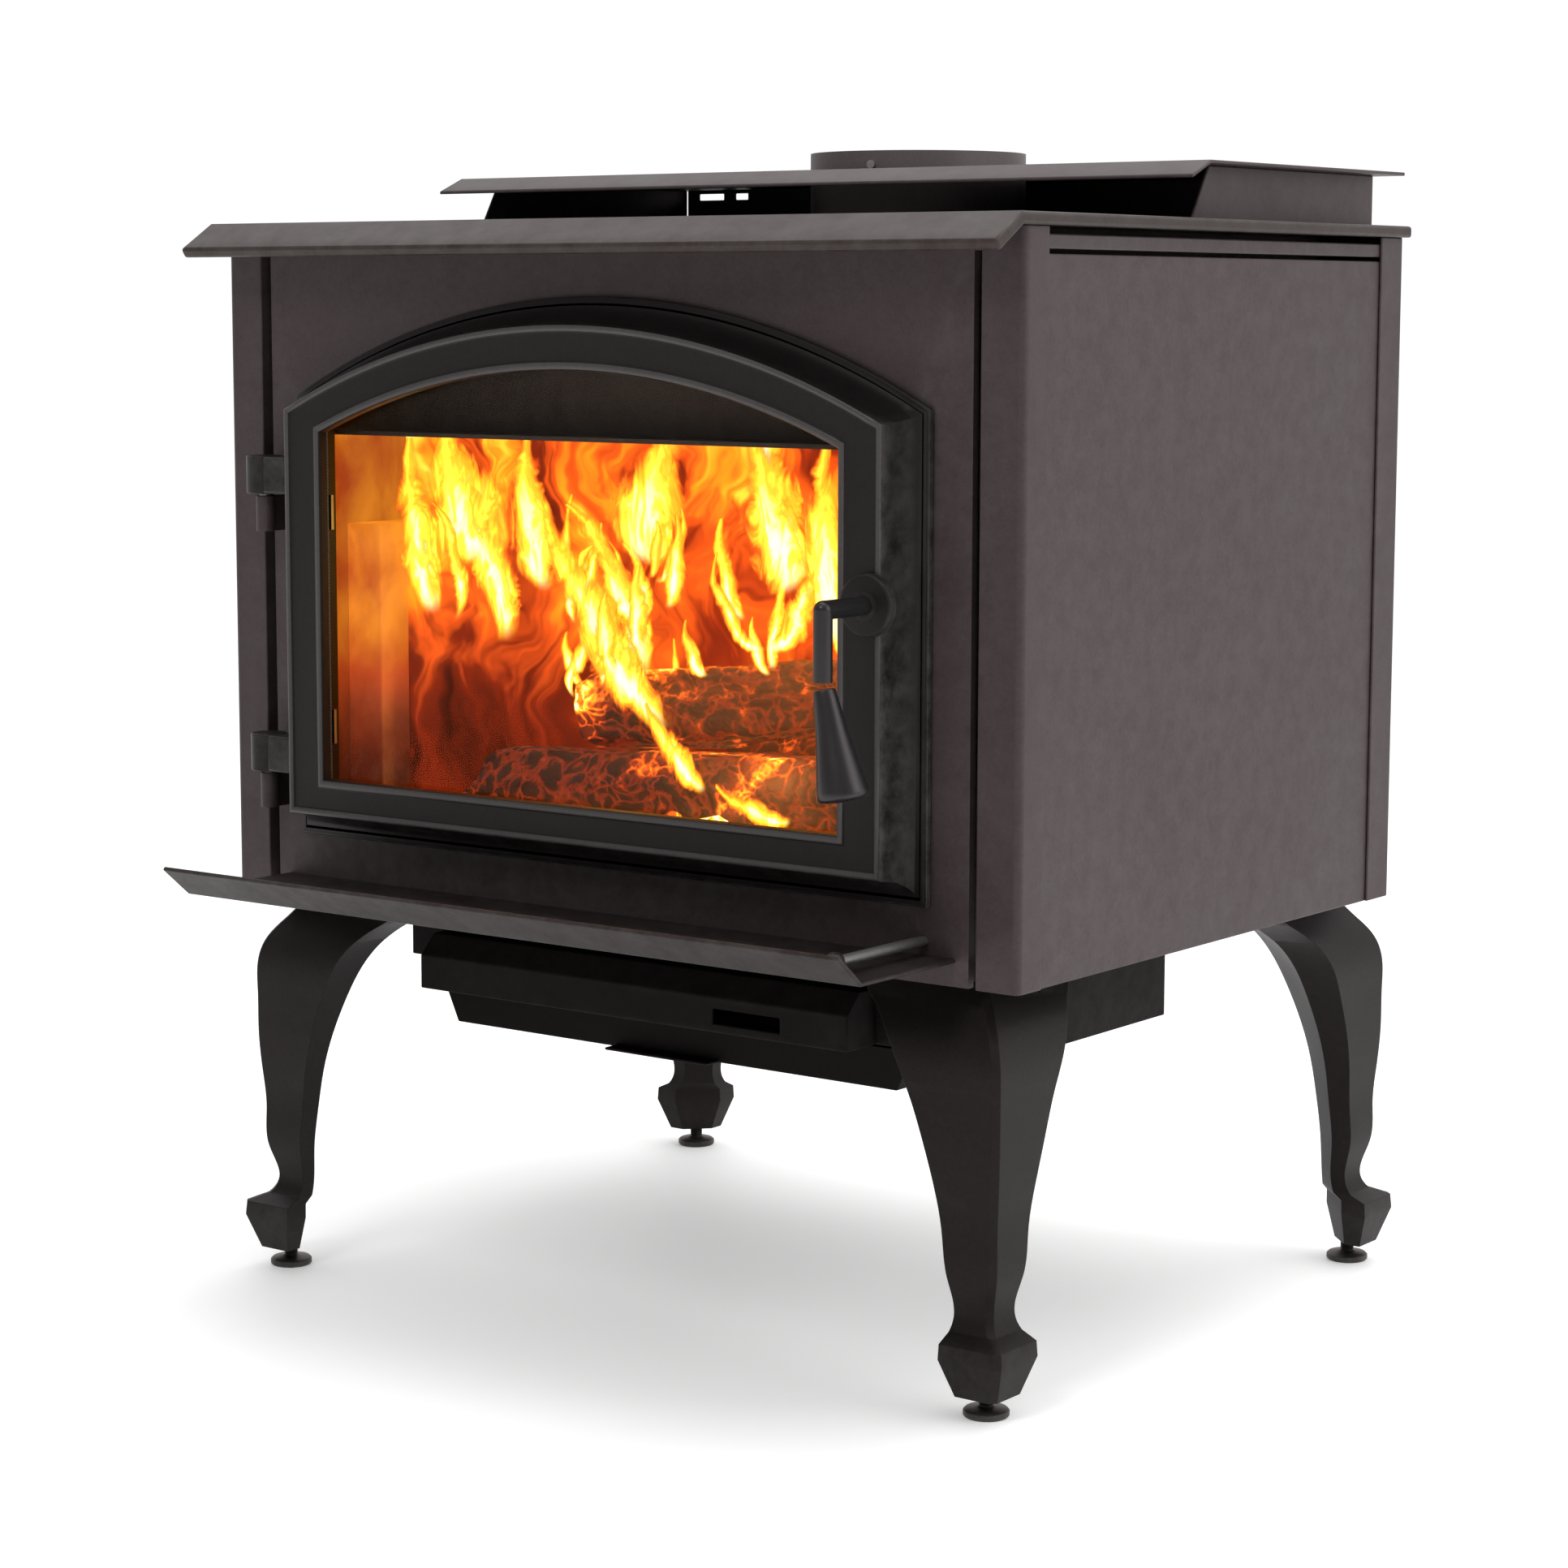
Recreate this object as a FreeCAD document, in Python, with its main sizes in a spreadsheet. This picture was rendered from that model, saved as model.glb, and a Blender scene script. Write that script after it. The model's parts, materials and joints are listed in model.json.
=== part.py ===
"""Free-standing wood burning stove on four cast legs, built as separate pieces.

Frame: +Z up, the door faces -Y, and the origin is on the floor under the centre of the
stove's bounding box.  The drawing below works from the front face of the corner posts
(y = 0 there) and DATUM_Y moves every piece back so that the box is centred on the origin.
"""
import FreeCAD
import Part
import Sketcher
import math
import os
import re

from FreeCAD import Vector

# Driving dimensions in millimetres: alias, value, what it is.
SIZES = [
    ("casing_width", 676, "over the outer faces of the side panels"),
    ("casing_depth", 492, "front post face to rear post face"),
    ("casing_height", 472, "under the top plate"),
    ("floor_gap", 277, "floor to the underside of the casing"),
    ("plate", 6, "welded firebox plate"),
    ("sheet", 2, "cladding sheet"),
    ("top_plate_thickness", 8, "cooking top"),
    ("top_overhang", 6, "top plate past the side panels"),
    ("lip_start", 12, "front bend of the top plate ahead of the posts"),
    ("lip_run", 29, "sloped front lip of the top plate, forward"),
    ("lip_drop", 18, "sloped front lip of the top plate, down"),
    ("front_setback", 3, "front plate behind the post faces"),
    ("post_slot", 7, "open slot between the front plate and a post"),
    ("post_front_width", 32, "front face of a corner post"),
    ("post_side_width", 27, "side face of a front corner post"),
    ("rear_post_side_width", 34, "side face of a rear corner post"),
    ("post_bend", 5, "outside radius of the post's corner bend"),
    ("post_return", 14, "depth of the post's inner return"),
    ("panel_lap", 12, "side panel tucked behind each post"),
    ("vent_height", 17, "open strip above each side panel"),
    ("rail_height", 9, "rail inside the vent strip, upright"),
    ("rail_depth", 8, "rail inside the vent strip"),
    ("rail_drop", 5, "gap between the rail and the top plate"),
    ("tie_thickness", 6, "cross tie between firebox and side panel"),
    ("tie_height", 12, "cross tie, upright"),
    ("side_cavity", 50, "firebox side plate to the outer face of the side panel"),
    ("rear_cavity", 40, "firebox back to the rear post face"),
    ("door_half_width", 255, "front rim of the door, half"),
    ("door_bottom", 345, "front rim of the door, lower edge"),
    ("door_peak", 688, "front rim of the door, crown of the arch"),
    ("door_radius", 575, "front rim arch"),
    ("door_depth", 32, "front rim ahead of the posts"),
    ("flare_side", 15.5, "door flange past the rim at the sides"),
    ("flare_top", 18, "door flange past the rim at the crown"),
    ("flare_bottom", 19, "door flange past the rim at the bottom"),
    ("flange_radius", 563, "door flange arch"),
    ("flange_thickness", 5, "door flange"),
    ("flange_land", 2, "flat edge of the flange around the slope"),
    ("running_gap", 0.3, "clearance between pieces that only nearly touch"),
    ("frame_border", 34, "door rim to the glass opening at the sides"),
    ("border_bottom", 26, "door rim to the glass opening at the bottom"),
    ("border_top", 30, "door rim to the glass opening at the crown"),
    ("glass_radius", 560, "arch of the glass opening"),
    ("frame_face", 8, "thickness of the door's front wall"),
    ("glass_overlap", 7, "glass behind the door's front wall"),
    ("glass_play", 1, "glass in its seat, all round"),
    ("glass_thickness", 4, "ceramic glass"),
    ("gasket_thickness", 2.5, "flat gasket in front of the glass"),
    ("ledge_width", 9, "screw ledge around the glass"),
    ("clip_grip", 5, "glass clip over the edge of the glass"),
    ("clip_length", 24, "glass clip"),
    ("clip_thickness", 2.5, "glass clip"),
    ("clip_screw_radius", 3.5, "head of a glass clip's screw"),
    ("clip_drop", 110, "lower side clips below the handle spindle"),
    ("clip_rise", 40, "upper side clips above the handle spindle"),
    ("clip_spacing", 120, "between the clips along the bottom"),
    ("rope_width", 8, "door seal"),
    ("rope_inset", 4, "door seal inside the flange edge"),
    ("rope_depth", 6, "seal channel in the door"),
    ("rope_play", 0.2, "door seal in its channel, each side"),
    ("rope_margin", 0.5, "door seal to the edge of the door opening"),
    ("hinge_outset", 35, "hinge axis outside the door rim"),
    ("hinge_forward", 15, "hinge axis ahead of the posts"),
    ("hinge_pin_radius", 4, "lift-off hinge pin"),
    ("hinge_clearance", 0.08, "pin to ear, radial"),
    ("knuckle_radius", 6.5, "hinge knuckle on the stove"),
    ("knuckle_height", 25, "hinge knuckle on the stove"),
    ("knuckle_web", 6, "web that joins a knuckle to the front plate"),
    ("pin_end_gap", 0.3, "pin to the closed end of its ear"),
    ("ear_radius", 13, "hinge ear on the door"),
    ("ear_height", 27, "hinge ear on the door"),
    ("arm_front", 12, "hinge arm ahead of the hinge axis"),
    ("arm_rear", 9, "hinge arm behind the hinge axis"),
    ("ear_cap", 6, "solid top of an ear over its pin"),
    ("pin_seat", 3, "solid base of a knuckle under its pin"),
    ("ear_gap", 1.5, "knuckle to ear"),
    ("upper_ear_bottom", 568, "underside of the upper ear"),
    ("lower_ear_bottom", 371, "underside of the lower ear"),
    ("handle_inset", 8, "handle spindle inside the door rim"),
    ("handle_height", 517, "handle spindle above the floor"),
    ("spindle_radius", 6, "handle spindle"),
    ("spindle_clearance", 0.1, "spindle in its boss, radial"),
    ("handle_reach", 49, "lever plane ahead of the door rim"),
    ("lever_drop", 44, "spindle to the top of the grip"),
    ("grip_length", 74, "grip along its axis"),
    ("grip_top_radius", 7.5, "grip, upper end"),
    ("grip_bottom_radius", 17, "grip, lower end"),
    ("grip_lean", 13, "grip's lean to the right, degrees"),
    ("grip_rise", 2.5, "apex of the grip's cone above the lever's end"),
    ("boss_radius", 20, "round boss under the handle"),
    ("boss_height", 7, "round boss under the handle"),
    ("cam_length", 27, "latch cam from the spindle"),
    ("cam_width", 13, "latch cam"),
    ("cam_thickness", 6, "latch cam"),
    ("nut_height", 5, "nut on the spindle"),
    ("eye_wall", 2.5, "metal round the spindle in the cam and in the nut"),
    ("strike_gap", 0.4, "latch cam to the wear plate"),
    ("strike_width", 21, "wear plate behind the front plate, sideways"),
    ("strike_height", 28, "wear plate behind the front plate, upright"),
    ("strike_thickness", 2, "wear plate behind the front plate"),
    ("shelf_inset", 49, "ash shelf inside the side panel's face"),
    ("shelf_height", 295, "top of the ash shelf"),
    ("shelf_depth", 98, "front bend of the shelf ahead of the posts"),
    ("shelf_thickness", 3, "ash shelf"),
    ("shelf_lip_run", 24, "shelf lip, forward"),
    ("shelf_lip_rise", 20, "shelf lip, up"),
    ("deflector_inset", 10, "raised top deflector inside the side panel's face"),
    ("deflector_front", 237, "front bend of the deflector"),
    ("deflector_overhang", 18, "rear edge of the deflector behind the casing"),
    ("deflector_lift", 36, "deflector's underside above the top plate"),
    ("deflector_lip_run", 24, "deflector's front lip, forward"),
    ("deflector_lip_drop", 10, "deflector's front lip, down"),
    ("deflector_sheet", 2.5, "deflector sheet"),
    ("deflector_clearance", 2, "deflector's hole around the flue collar"),
    ("support_inset", 26, "outer face of a deflector support inside the side panel's face"),
    ("support_front", 240, "foot of the support, front end"),
    ("support_rake", 21, "slant of the support's front edge"),
    ("shield_lift", 12, "rear heat shield above the casing's underside"),
    ("slot_inset", 12, "first shield slot from the shield's side edge"),
    ("slot_length", 25, "longer vent slot of the shield"),
    ("slot_height", 5, "vent slot of the shield"),
    ("slot_drop", 3, "vent slots below the shield's upper edge"),
    ("collar_bore_radius", 76.2, "inside of the flue collar, for a 152 mm flue"),
    ("collar_wall", 3, "flue collar"),
    ("collar_flange", 14, "foot flange of the collar past its wall"),
    ("collar_flange_thickness", 4, "foot flange of the collar"),
    ("collar_height", 54, "flue collar above the top plate"),
    ("collar_y", 374, "flue axis behind the posts"),
    ("collar_screw_radius", 3, "flue screws"),
    ("collar_screw_drop", 10, "flue screws below the collar's upper edge"),
    ("collar_screw_proud", 3, "flue screws past the collar's wall"),
    ("pan_inset", 52, "convection pan under the firebox, inside the side panel's face"),
    ("pan_front", 62, "front wall of the pan"),
    ("pan_length", 203, "pan, front to back"),
    ("pan_neck", 66, "narrow front part of the pan between the legs"),
    ("pan_neck_inset", 140, "narrow front part of the pan inside the side panel's face"),
    ("pan_depth", 59, "pan under the firebox"),
    ("drawer_front", 76, "front of the ash drawer"),
    ("drawer_length", 186, "ash drawer, front to back"),
    ("drawer_top_half", 206, "ash drawer, half width at its rim"),
    ("drawer_bottom_half", 194, "ash drawer, half width at its floor"),
    ("drawer_height", 28, "ash drawer"),
    ("drawer_rim", 8, "flange along each side of the drawer"),
    ("drawer_clearance", 1, "ash drawer to its runners, sideways"),
    ("pull_half_width", 45, "pull lip on the drawer's front, half"),
    ("pull_depth", 14, "pull lip on the drawer's front"),
    ("runner_height", 9, "drawer runner under the pan"),
    ("air_box_half_width", 187, "air inlet box, half"),
    ("air_box_depth", 33, "air inlet box ahead of the pan"),
    ("air_box_height", 38, "air inlet box"),
    ("air_box_chamfer", 14, "sloped upper edge of the air inlet box"),
    ("inlet_offset", 76, "air inlet slot right of the centre"),
    ("inlet_length", 56, "air inlet slot"),
    ("inlet_height", 10, "air inlet slot"),
    ("inlet_lift", 6, "air inlet slot above the pan's underside"),
    ("rod_offset", 265, "air control rod right of the centre"),
    ("rod_lift", 9, "air control rod above the shelf"),
    ("rod_radius", 3.5, "air control rod"),
    ("rod_front", 90, "knob end of the rod ahead of the posts"),
    ("rod_rear", 22, "damper end of the rod behind the posts"),
    ("knob_radius", 6.5, "air control knob"),
    ("leg_inset", 14, "leg ridge inside the side panel's face"),
    ("leg_front", -1, "leg ridge of the front legs"),
    ("leg_overhang", 24, "leg ridge of the rear legs behind the casing"),
    ("foot_gap", 14, "floor to the underside of a leg"),
    ("boot_height", 40, "flared boot of a leg"),
    ("boot_flare", 8, "boot past the leg's ridge"),
    ("foot_radius", 15, "levelling foot's pad"),
    ("foot_thickness", 6, "levelling foot's pad"),
    ("stem_radius", 5, "levelling foot's screw"),
    ("stem_length", 30, "levelling foot's screw"),
    ("stem_clearance", 0.1, "screw in the leg, radial"),
    ("stem_inset", 17, "levelling screw in from the leg's ridge"),
    ("leg_chamfer", 4, "chamfer along the leg's ridge"),
    ("leg_web", 0.42, "short side of a leg's section as a share of its width"),
    ("bolt_radius", 5, "leg bolt"),
    ("bolt_depth", 20, "leg bolt in the leg"),
    ("bolt_head_radius", 9, "leg bolt's flush head"),
    ("bolt_head", 4, "leg bolt's flush head"),
    ("bolt_inset", 75, "leg bolt in from the leg's ridge"),
    ("brick", 32, "firebrick"),
    ("brick_joint", 0.5, "gap between firebricks"),
    ("brick_front", 60, "first firebrick behind the posts"),
    ("side_brick_height", 229, "side firebricks"),
    ("baffle_height", 655, "underside of the baffle boards"),
    ("baffle_thickness", 25, "baffle boards"),
    ("baffle_front", 130, "front edge of the baffle boards"),
    ("tube_radius", 10, "secondary air tube"),
    ("tube_wall", 2, "secondary air tube"),
    ("tube_inset", 26, "outer air tubes in from the baffle's edges"),
    ("lintel_bottom", 610, "underside of the air-wash duct"),
    ("lintel_depth", 34, "air-wash duct behind the front plate"),
    ("sill_height", 32, "primary air manifold above the firebox floor"),
    ("sill_depth", 50, "primary air manifold, front to back"),
    ("duct_wall", 3, "folded air duct wall"),
    ("ember_margin", 22, "ember bed in from the firebricks"),
    ("ember_depth", 14, "ember bed"),
]

# Sizes that follow another one by a named clearance: alias, formula, what it is.
FOLLOWING = [
    ("front_plate_width", "=casing_width - 2 * post_front_width - 2 * post_slot", "front plate"),
    ("firebox_width", "=casing_width - 2 * side_cavity", "over the firebox side plates"),
    ("hinge_offset", "=door_half_width + hinge_outset", "hinge axis left of the centre"),
    ("handle_offset", "=door_half_width - handle_inset", "handle spindle right of the centre"),
    ("shelf_half_width", "=casing_width / 2 - shelf_inset", "ash shelf, half"),
    ("deflector_half_width", "=casing_width / 2 - deflector_inset", "raised top deflector, half"),
    ("deflector_rear", "=casing_depth + deflector_overhang", "rear edge of the deflector"),
    ("support_offset", "=casing_width / 2 - support_inset", "outer face of a deflector support"),
    ("pan_half_width", "=casing_width / 2 - pan_inset", "convection pan, half"),
    ("pan_neck_half_width", "=casing_width / 2 - pan_neck_inset", "narrow part of the pan, half"),
    ("leg_rear", "=casing_depth + leg_overhang", "leg ridge of the rear legs"),
]

doc = FreeCAD.newDocument("wood_stove")
sheet = doc.addObject("Spreadsheet::Sheet", "Sizes")
for row, (alias, amount, meaning) in enumerate(SIZES + FOLLOWING, start=1):
    sheet.set("A%d" % row, str(amount))
    sheet.setAlias("A%d" % row, alias)
    sheet.set("B%d" % row, meaning)
doc.recompute()

ALIASES = {entry[0] for entry in SIZES + FOLLOWING}
parts = []
helpers = {"count": 0}

# Heights and depths worked out from the driving dimensions.
DATUM_Y = "((shelf_depth + shelf_lip_run - leg_rear - boot_flare) / 2)"
CASING_HALF = "(casing_width / 2)"
CASING_TOP = "(floor_gap + casing_height)"
TOP_FACE = "(floor_gap + casing_height + top_plate_thickness)"
PLATE_FRONT = "front_setback"
PLATE_REAR = "(front_setback + plate)"
FIREBOX_HALF = "(firebox_width / 2)"
FIREBOX_INNER = "(firebox_width / 2 - plate)"
FIREBOX_REAR = "(casing_depth - rear_cavity)"
FIREBOX_FLOOR = "(floor_gap + plate)"
POST_INNER = "(casing_width / 2 - post_front_width)"
FLANGE_BACK = "(front_setback - running_gap)"
FLANGE_FRONT = "(front_setback - running_gap - flange_thickness)"
PAN_BOTTOM = "(floor_gap - pan_depth)"
BRICK_FACE = "(firebox_width / 2 - plate - brick)"
HEARTH = "(floor_gap + plate + brick)"
ROD_Z = "(shelf_height + rod_lift)"
GLASS_BACK = "(frame_face + gasket_thickness + glass_thickness - door_depth)"


def bind(text):
    """Return an expression that reads every size named in the text from the sheet."""
    def qualify(match):
        word = match.group(0)
        return "Sizes." + word if word in ALIASES else word
    return re.sub(r"[A-Za-z_]+[A-Za-z_0-9]*", qualify, str(text))


def value(text):
    """Return the number that a size formula gives with the sheet's present values."""
    result = sheet.evalExpression(bind(text))
    return float(getattr(result, "Value", result))


def helper_name(kind):
    """Return a fresh internal name for an object that is not itself a sub-part."""
    helpers["count"] += 1
    return "%s_%03d" % (kind, helpers["count"])


def place(item, x=None, y=None, z=None):
    """Bind the position of an object to size formulas, in the drawing's own datum."""
    if x is not None:
        item.setExpression("Placement.Base.x", bind(x))
    if y is not None:
        item.setExpression("Placement.Base.y", bind("(%s) + %s" % (y, DATUM_Y)))
    if z is not None:
        item.setExpression("Placement.Base.z", bind(z))


def box(x, y, z):
    """Make a block from a low and a high formula along each axis."""
    item = doc.addObject("Part::Box", helper_name("block"))
    for prop, (low, high) in (("Length", x), ("Width", y), ("Height", z)):
        item.setExpression(prop, bind("(%s) - (%s)" % (high, low)))
    place(item, x[0], y[0], z[0])
    return item


TURNS = {
    "x": FreeCAD.Rotation(Vector(0, 1, 0), 90),
    "y": FreeCAD.Rotation(Vector(1, 0, 0), -90),
    "z": FreeCAD.Rotation(),
}


def rod(axis, radius, length, x, y, z, end_radius=None):
    """Make a cylinder, or a cone if end_radius is given, from its start along an axis."""
    kind = "Part::Cylinder" if end_radius is None else "Part::Cone"
    item = doc.addObject(kind, helper_name("round"))
    if end_radius is None:
        item.setExpression("Radius", bind(radius))
    else:
        item.setExpression("Radius1", bind(radius))
        item.setExpression("Radius2", bind(end_radius))
    item.setExpression("Height", bind(length))
    item.Placement = FreeCAD.Placement(Vector(), TURNS[axis])
    place(item, x, y, z)
    return item


def cut(base, *tools):
    """Take one or more tools away from a base solid."""
    item = doc.addObject("Part::Cut", helper_name("cut"))
    item.Base = base
    item.Tool = tools[0] if len(tools) == 1 else fuse(*tools)
    return item


def fuse(*items):
    """Join solids that overlap or touch into one piece."""
    item = doc.addObject("Part::MultiFuse", helper_name("join"))
    item.Shapes = list(items)
    item.Refine = True
    return item


def group(items):
    """Keep several separate solids of the same kind in one sub-part."""
    item = doc.addObject("Part::Compound", helper_name("set"))
    item.Links = list(items)
    return item


def name_part(item, label):
    """Give a finished sub-part its label and list it for checking and export."""
    item.Label = label
    parts.append(item)
    return item


def span(side, low, high):
    """Return a pair of x formulas, mirrored to the left when side is -1."""
    return (low, high) if side > 0 else ("-(%s)" % high, "-(%s)" % low)


class Outline:
    """Closed outline of straight edges and arcs whose corners are size formulas."""

    def __init__(self, corners, arcs=None):
        self.corners = corners
        self.arcs = arcs or {}

    def draw(self, sketch):
        """Add the edges and their constraints to a sketch."""
        points = [Vector(value(x), value(y), 0) for x, y in self.corners]
        count = len(points)
        starts = {}
        for index in range(count):
            start = points[index]
            end = points[(index + 1) % count]
            if index in self.arcs:
                radius, turn = self.arcs[index]
                edge, ends = self.arc(sketch, start, end, value(radius), turn)
                limit = sketch.addConstraint(Sketcher.Constraint("Radius", edge, value(radius)))
                sketch.setExpression("Constraints[%d]" % limit, bind(radius))
            else:
                edge = sketch.addGeometry(Part.LineSegment(start, end), False)
                ends = (1, 2)
            starts[index] = (edge, ends)
        for index in range(count):
            edge, ends = starts[index]
            after, after_ends = starts[(index + 1) % count]
            sketch.addConstraint(Sketcher.Constraint("Coincident", edge, ends[1], after, after_ends[0]))
            for kind, text, number in (
                ("DistanceX", self.corners[index][0], points[index].x),
                ("DistanceY", self.corners[index][1], points[index].y),
            ):
                limit = sketch.addConstraint(Sketcher.Constraint(kind, -1, 1, edge, ends[0], number))
                sketch.setExpression("Constraints[%d]" % limit, bind(text))

    @staticmethod
    def arc(sketch, start, end, radius, turn):
        """Add an arc between two points; turn is +1 anticlockwise and -1 clockwise."""
        middle = (start + end) * 0.5
        chord = end - start
        height = math.sqrt(max(radius ** 2 - (chord.Length / 2) ** 2, 0))
        normal = Vector(-chord.y, chord.x, 0)
        normal.normalize()
        centre = middle + normal * height * turn
        first, last = (start, end) if turn > 0 else (end, start)
        begin = math.atan2(first.y - centre.y, first.x - centre.x)
        finish = math.atan2(last.y - centre.y, last.x - centre.x)
        circle = Part.Circle(centre, Vector(0, 0, 1), radius)
        edge = sketch.addGeometry(Part.ArcOfCircle(circle, begin, finish), False)
        return edge, ((1, 2) if turn > 0 else (2, 1))


def new_body():
    """Start a PartDesign body."""
    return doc.addObject("PartDesign::Body", helper_name("body"))


def add_sketch(body, plane, outlines, offset=None):
    """Draw outlines on one of the body's origin planes, moved along its normal."""
    sketch = body.newObject("Sketcher::SketchObject", helper_name("sketch"))
    origin = [item for item in body.Origin.OriginFeatures if item.Role == plane + "_Plane"][0]
    sketch.AttachmentSupport = [(origin, "")]
    sketch.MapMode = "FlatFace"
    if offset is not None:
        sketch.setExpression("AttachmentOffset.Base.z", bind(offset))
    for outline in outlines:
        outline.draw(sketch)
    return sketch


def add_pad(body, sketch, length):
    """Pad a sketch along its plane's normal."""
    pad = body.newObject("PartDesign::Pad", helper_name("pad"))
    pad.Profile = sketch
    pad.setExpression("Length", bind(length))
    return pad


def add_pocket(body, sketch, length, reverse):
    """Cut a pocket and make sure that it took material away."""
    doc.recompute()
    before = body.Shape.Volume
    pocket = body.newObject("PartDesign::Pocket", helper_name("pocket"))
    pocket.Profile = sketch
    pocket.setExpression("Length", bind(length))
    pocket.Reversed = reverse
    doc.recompute()
    if body.Shape.Volume >= before:
        raise RuntimeError("a pocket cut nothing in " + body.Name)
    return pocket


PLANE_AXIS = {"XY": "z", "XZ": "y", "YZ": "x"}


def prism(plane, outlines, start, length):
    """Extrude outlines; start is the low x or z, or the high y on the XZ plane."""
    body = new_body()
    sketch = add_sketch(body, plane, outlines)
    add_pad(body, sketch, length)
    where = {"y": "0"}
    where[PLANE_AXIS[plane]] = start
    place(body, **where)
    return body


def arch(half_width, bottom, peak, radius):
    """Return the outline of an arched panel: a segmental arc on a rectangle."""
    shoulder = "(%s) - (%s) + sqrt((%s)^2 - (%s)^2)" % (peak, radius, radius, half_width)
    corners = [
        ("-(%s)" % half_width, bottom),
        (half_width, bottom),
        (half_width, shoulder),
        ("-(%s)" % half_width, shoulder),
    ]
    return Outline(corners, {2: (radius, 1)})


def inset_arch(half_width, bottom, peak, radius, inset):
    """Return an arch outline moved inwards by an inset on every side."""
    return arch(
        "(%s) - (%s)" % (half_width, inset),
        "(%s) + (%s)" % (bottom, inset),
        "(%s) - (%s)" % (peak, inset),
        "(%s) - (%s)" % (radius, inset),
    )


RIM = ("door_half_width", "door_bottom", "door_peak", "door_radius")
FLANGE = (
    "(door_half_width + flare_side)",
    "(door_bottom - flare_bottom)",
    "(door_peak + flare_top)",
    "flange_radius",
)
OPENING = (
    "(door_half_width - frame_border)",
    "(door_bottom + border_bottom)",
    "(door_peak - border_top)",
    "glass_radius",
)


def make_firebox():
    """Welded firebox: floor, two sides and back, all of the same plate."""
    depth = (PLATE_REAR, FIREBOX_REAR)
    across = ("-" + FIREBOX_HALF, FIREBOX_HALF)
    upright = (FIREBOX_FLOOR, CASING_TOP)
    back = (FIREBOX_REAR, "%s + plate" % FIREBOX_REAR)
    seats = []
    for y in ("leg_front + bolt_inset", "leg_rear - bolt_inset"):
        for side in ("-", ""):
            seats.append(leg_bolt("%s(%s - leg_inset - bolt_inset)" % (side, CASING_HALF), y))
    floor = box(across, (PLATE_REAR, back[1]), ("floor_gap", FIREBOX_FLOOR))
    name_part(cut(floor, *seats), "firebox_floor")
    for side, word in ((-1, "left"), (1, "right")):
        name_part(box(span(side, FIREBOX_INNER, FIREBOX_HALF), depth, upright), "firebox_" + word)
    name_part(box(across, back, upright), "firebox_back")


def make_front_plate():
    """Front plate with the arched door opening and the hole for the air control rod."""
    half = "(front_plate_width / 2)"
    corners = [("-" + half, "floor_gap"), (half, "floor_gap"), (half, CASING_TOP), ("-" + half, CASING_TOP)]
    opening = inset_arch(*FLANGE, "rope_inset + rope_width + rope_margin")
    plate = prism("XZ", [Outline(corners), opening], PLATE_REAR, "plate")
    hole = rod("y", "rod_radius + stem_clearance", "3 * plate", "rod_offset", "-plate", ROD_Z)
    name_part(cut(plate, hole), "front_plate")


def make_top_plate():
    """Thick cooking top with its sloped front lip and the flue hole."""
    thick = "top_plate_thickness"
    rear = "casing_depth"
    slope = "sqrt(lip_run^2 + lip_drop^2)"
    fold = "(%s * (%s - lip_run) / lip_drop)" % (thick, slope)
    section = Outline([
        (rear, CASING_TOP),
        (rear, TOP_FACE),
        ("-lip_start", TOP_FACE),
        ("-lip_start - lip_run", "%s - lip_drop" % TOP_FACE),
        ("-lip_start - lip_run + %s * lip_drop / %s" % (thick, slope),
         "%s - lip_drop - %s * lip_run / %s" % (TOP_FACE, thick, slope)),
        ("-lip_start + %s" % fold, CASING_TOP),
    ])
    half = "(casing_width / 2 + top_overhang)"
    plate = prism("YZ", [section], "-" + half, "2 * " + half)
    hole = rod("z", "collar_bore_radius", "3 * " + thick, "0", "collar_y", "%s - %s" % (CASING_TOP, thick))
    name_part(cut(plate, hole), "top_plate")


# Directions of the three flue screws seen from above, in degrees from +X.
COLLAR_SCREW_TURNS = (-80, 40, 160)


def make_flue_collar():
    """Flue collar with its foot flange, and the screws that hold the flue in it."""
    outer = "collar_bore_radius + collar_wall"
    tube = rod("z", outer, "collar_height", "0", "collar_y", TOP_FACE)
    foot = rod("z", outer + " + collar_flange", "collar_flange_thickness", "0", "collar_y", TOP_FACE)
    bore = rod("z", "collar_bore_radius", "2 * collar_height", "0", "collar_y",
               "%s - collar_height / 2" % TOP_FACE)
    holes = []
    screws = []
    height = "%s + collar_height - collar_screw_drop" % TOP_FACE
    for turn in COLLAR_SCREW_TURNS:
        for found, radius, start, length in (
            (holes, "collar_screw_radius", outer + " - 2 * collar_wall", "3 * collar_wall"),
            (screws, "collar_screw_radius", outer + " - collar_wall", "collar_wall + collar_screw_proud"),
        ):
            item = rod("x", radius, length, None, None, height)
            item.Placement.Rotation = FreeCAD.Rotation(Vector(0, 0, 1), turn) * TURNS["x"]
            item.setExpression("Placement.Base.x", bind("(%s) * cos(%d deg)" % (start, turn)))
            item.setExpression("Placement.Base.y", bind(
                "(%s) * sin(%d deg) + collar_y + %s" % (start, turn, DATUM_Y)))
            found.append(item)
    name_part(cut(fuse(tube, foot), bore, *holes), "flue_collar")
    name_part(group(screws), "collar_screws")


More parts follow.
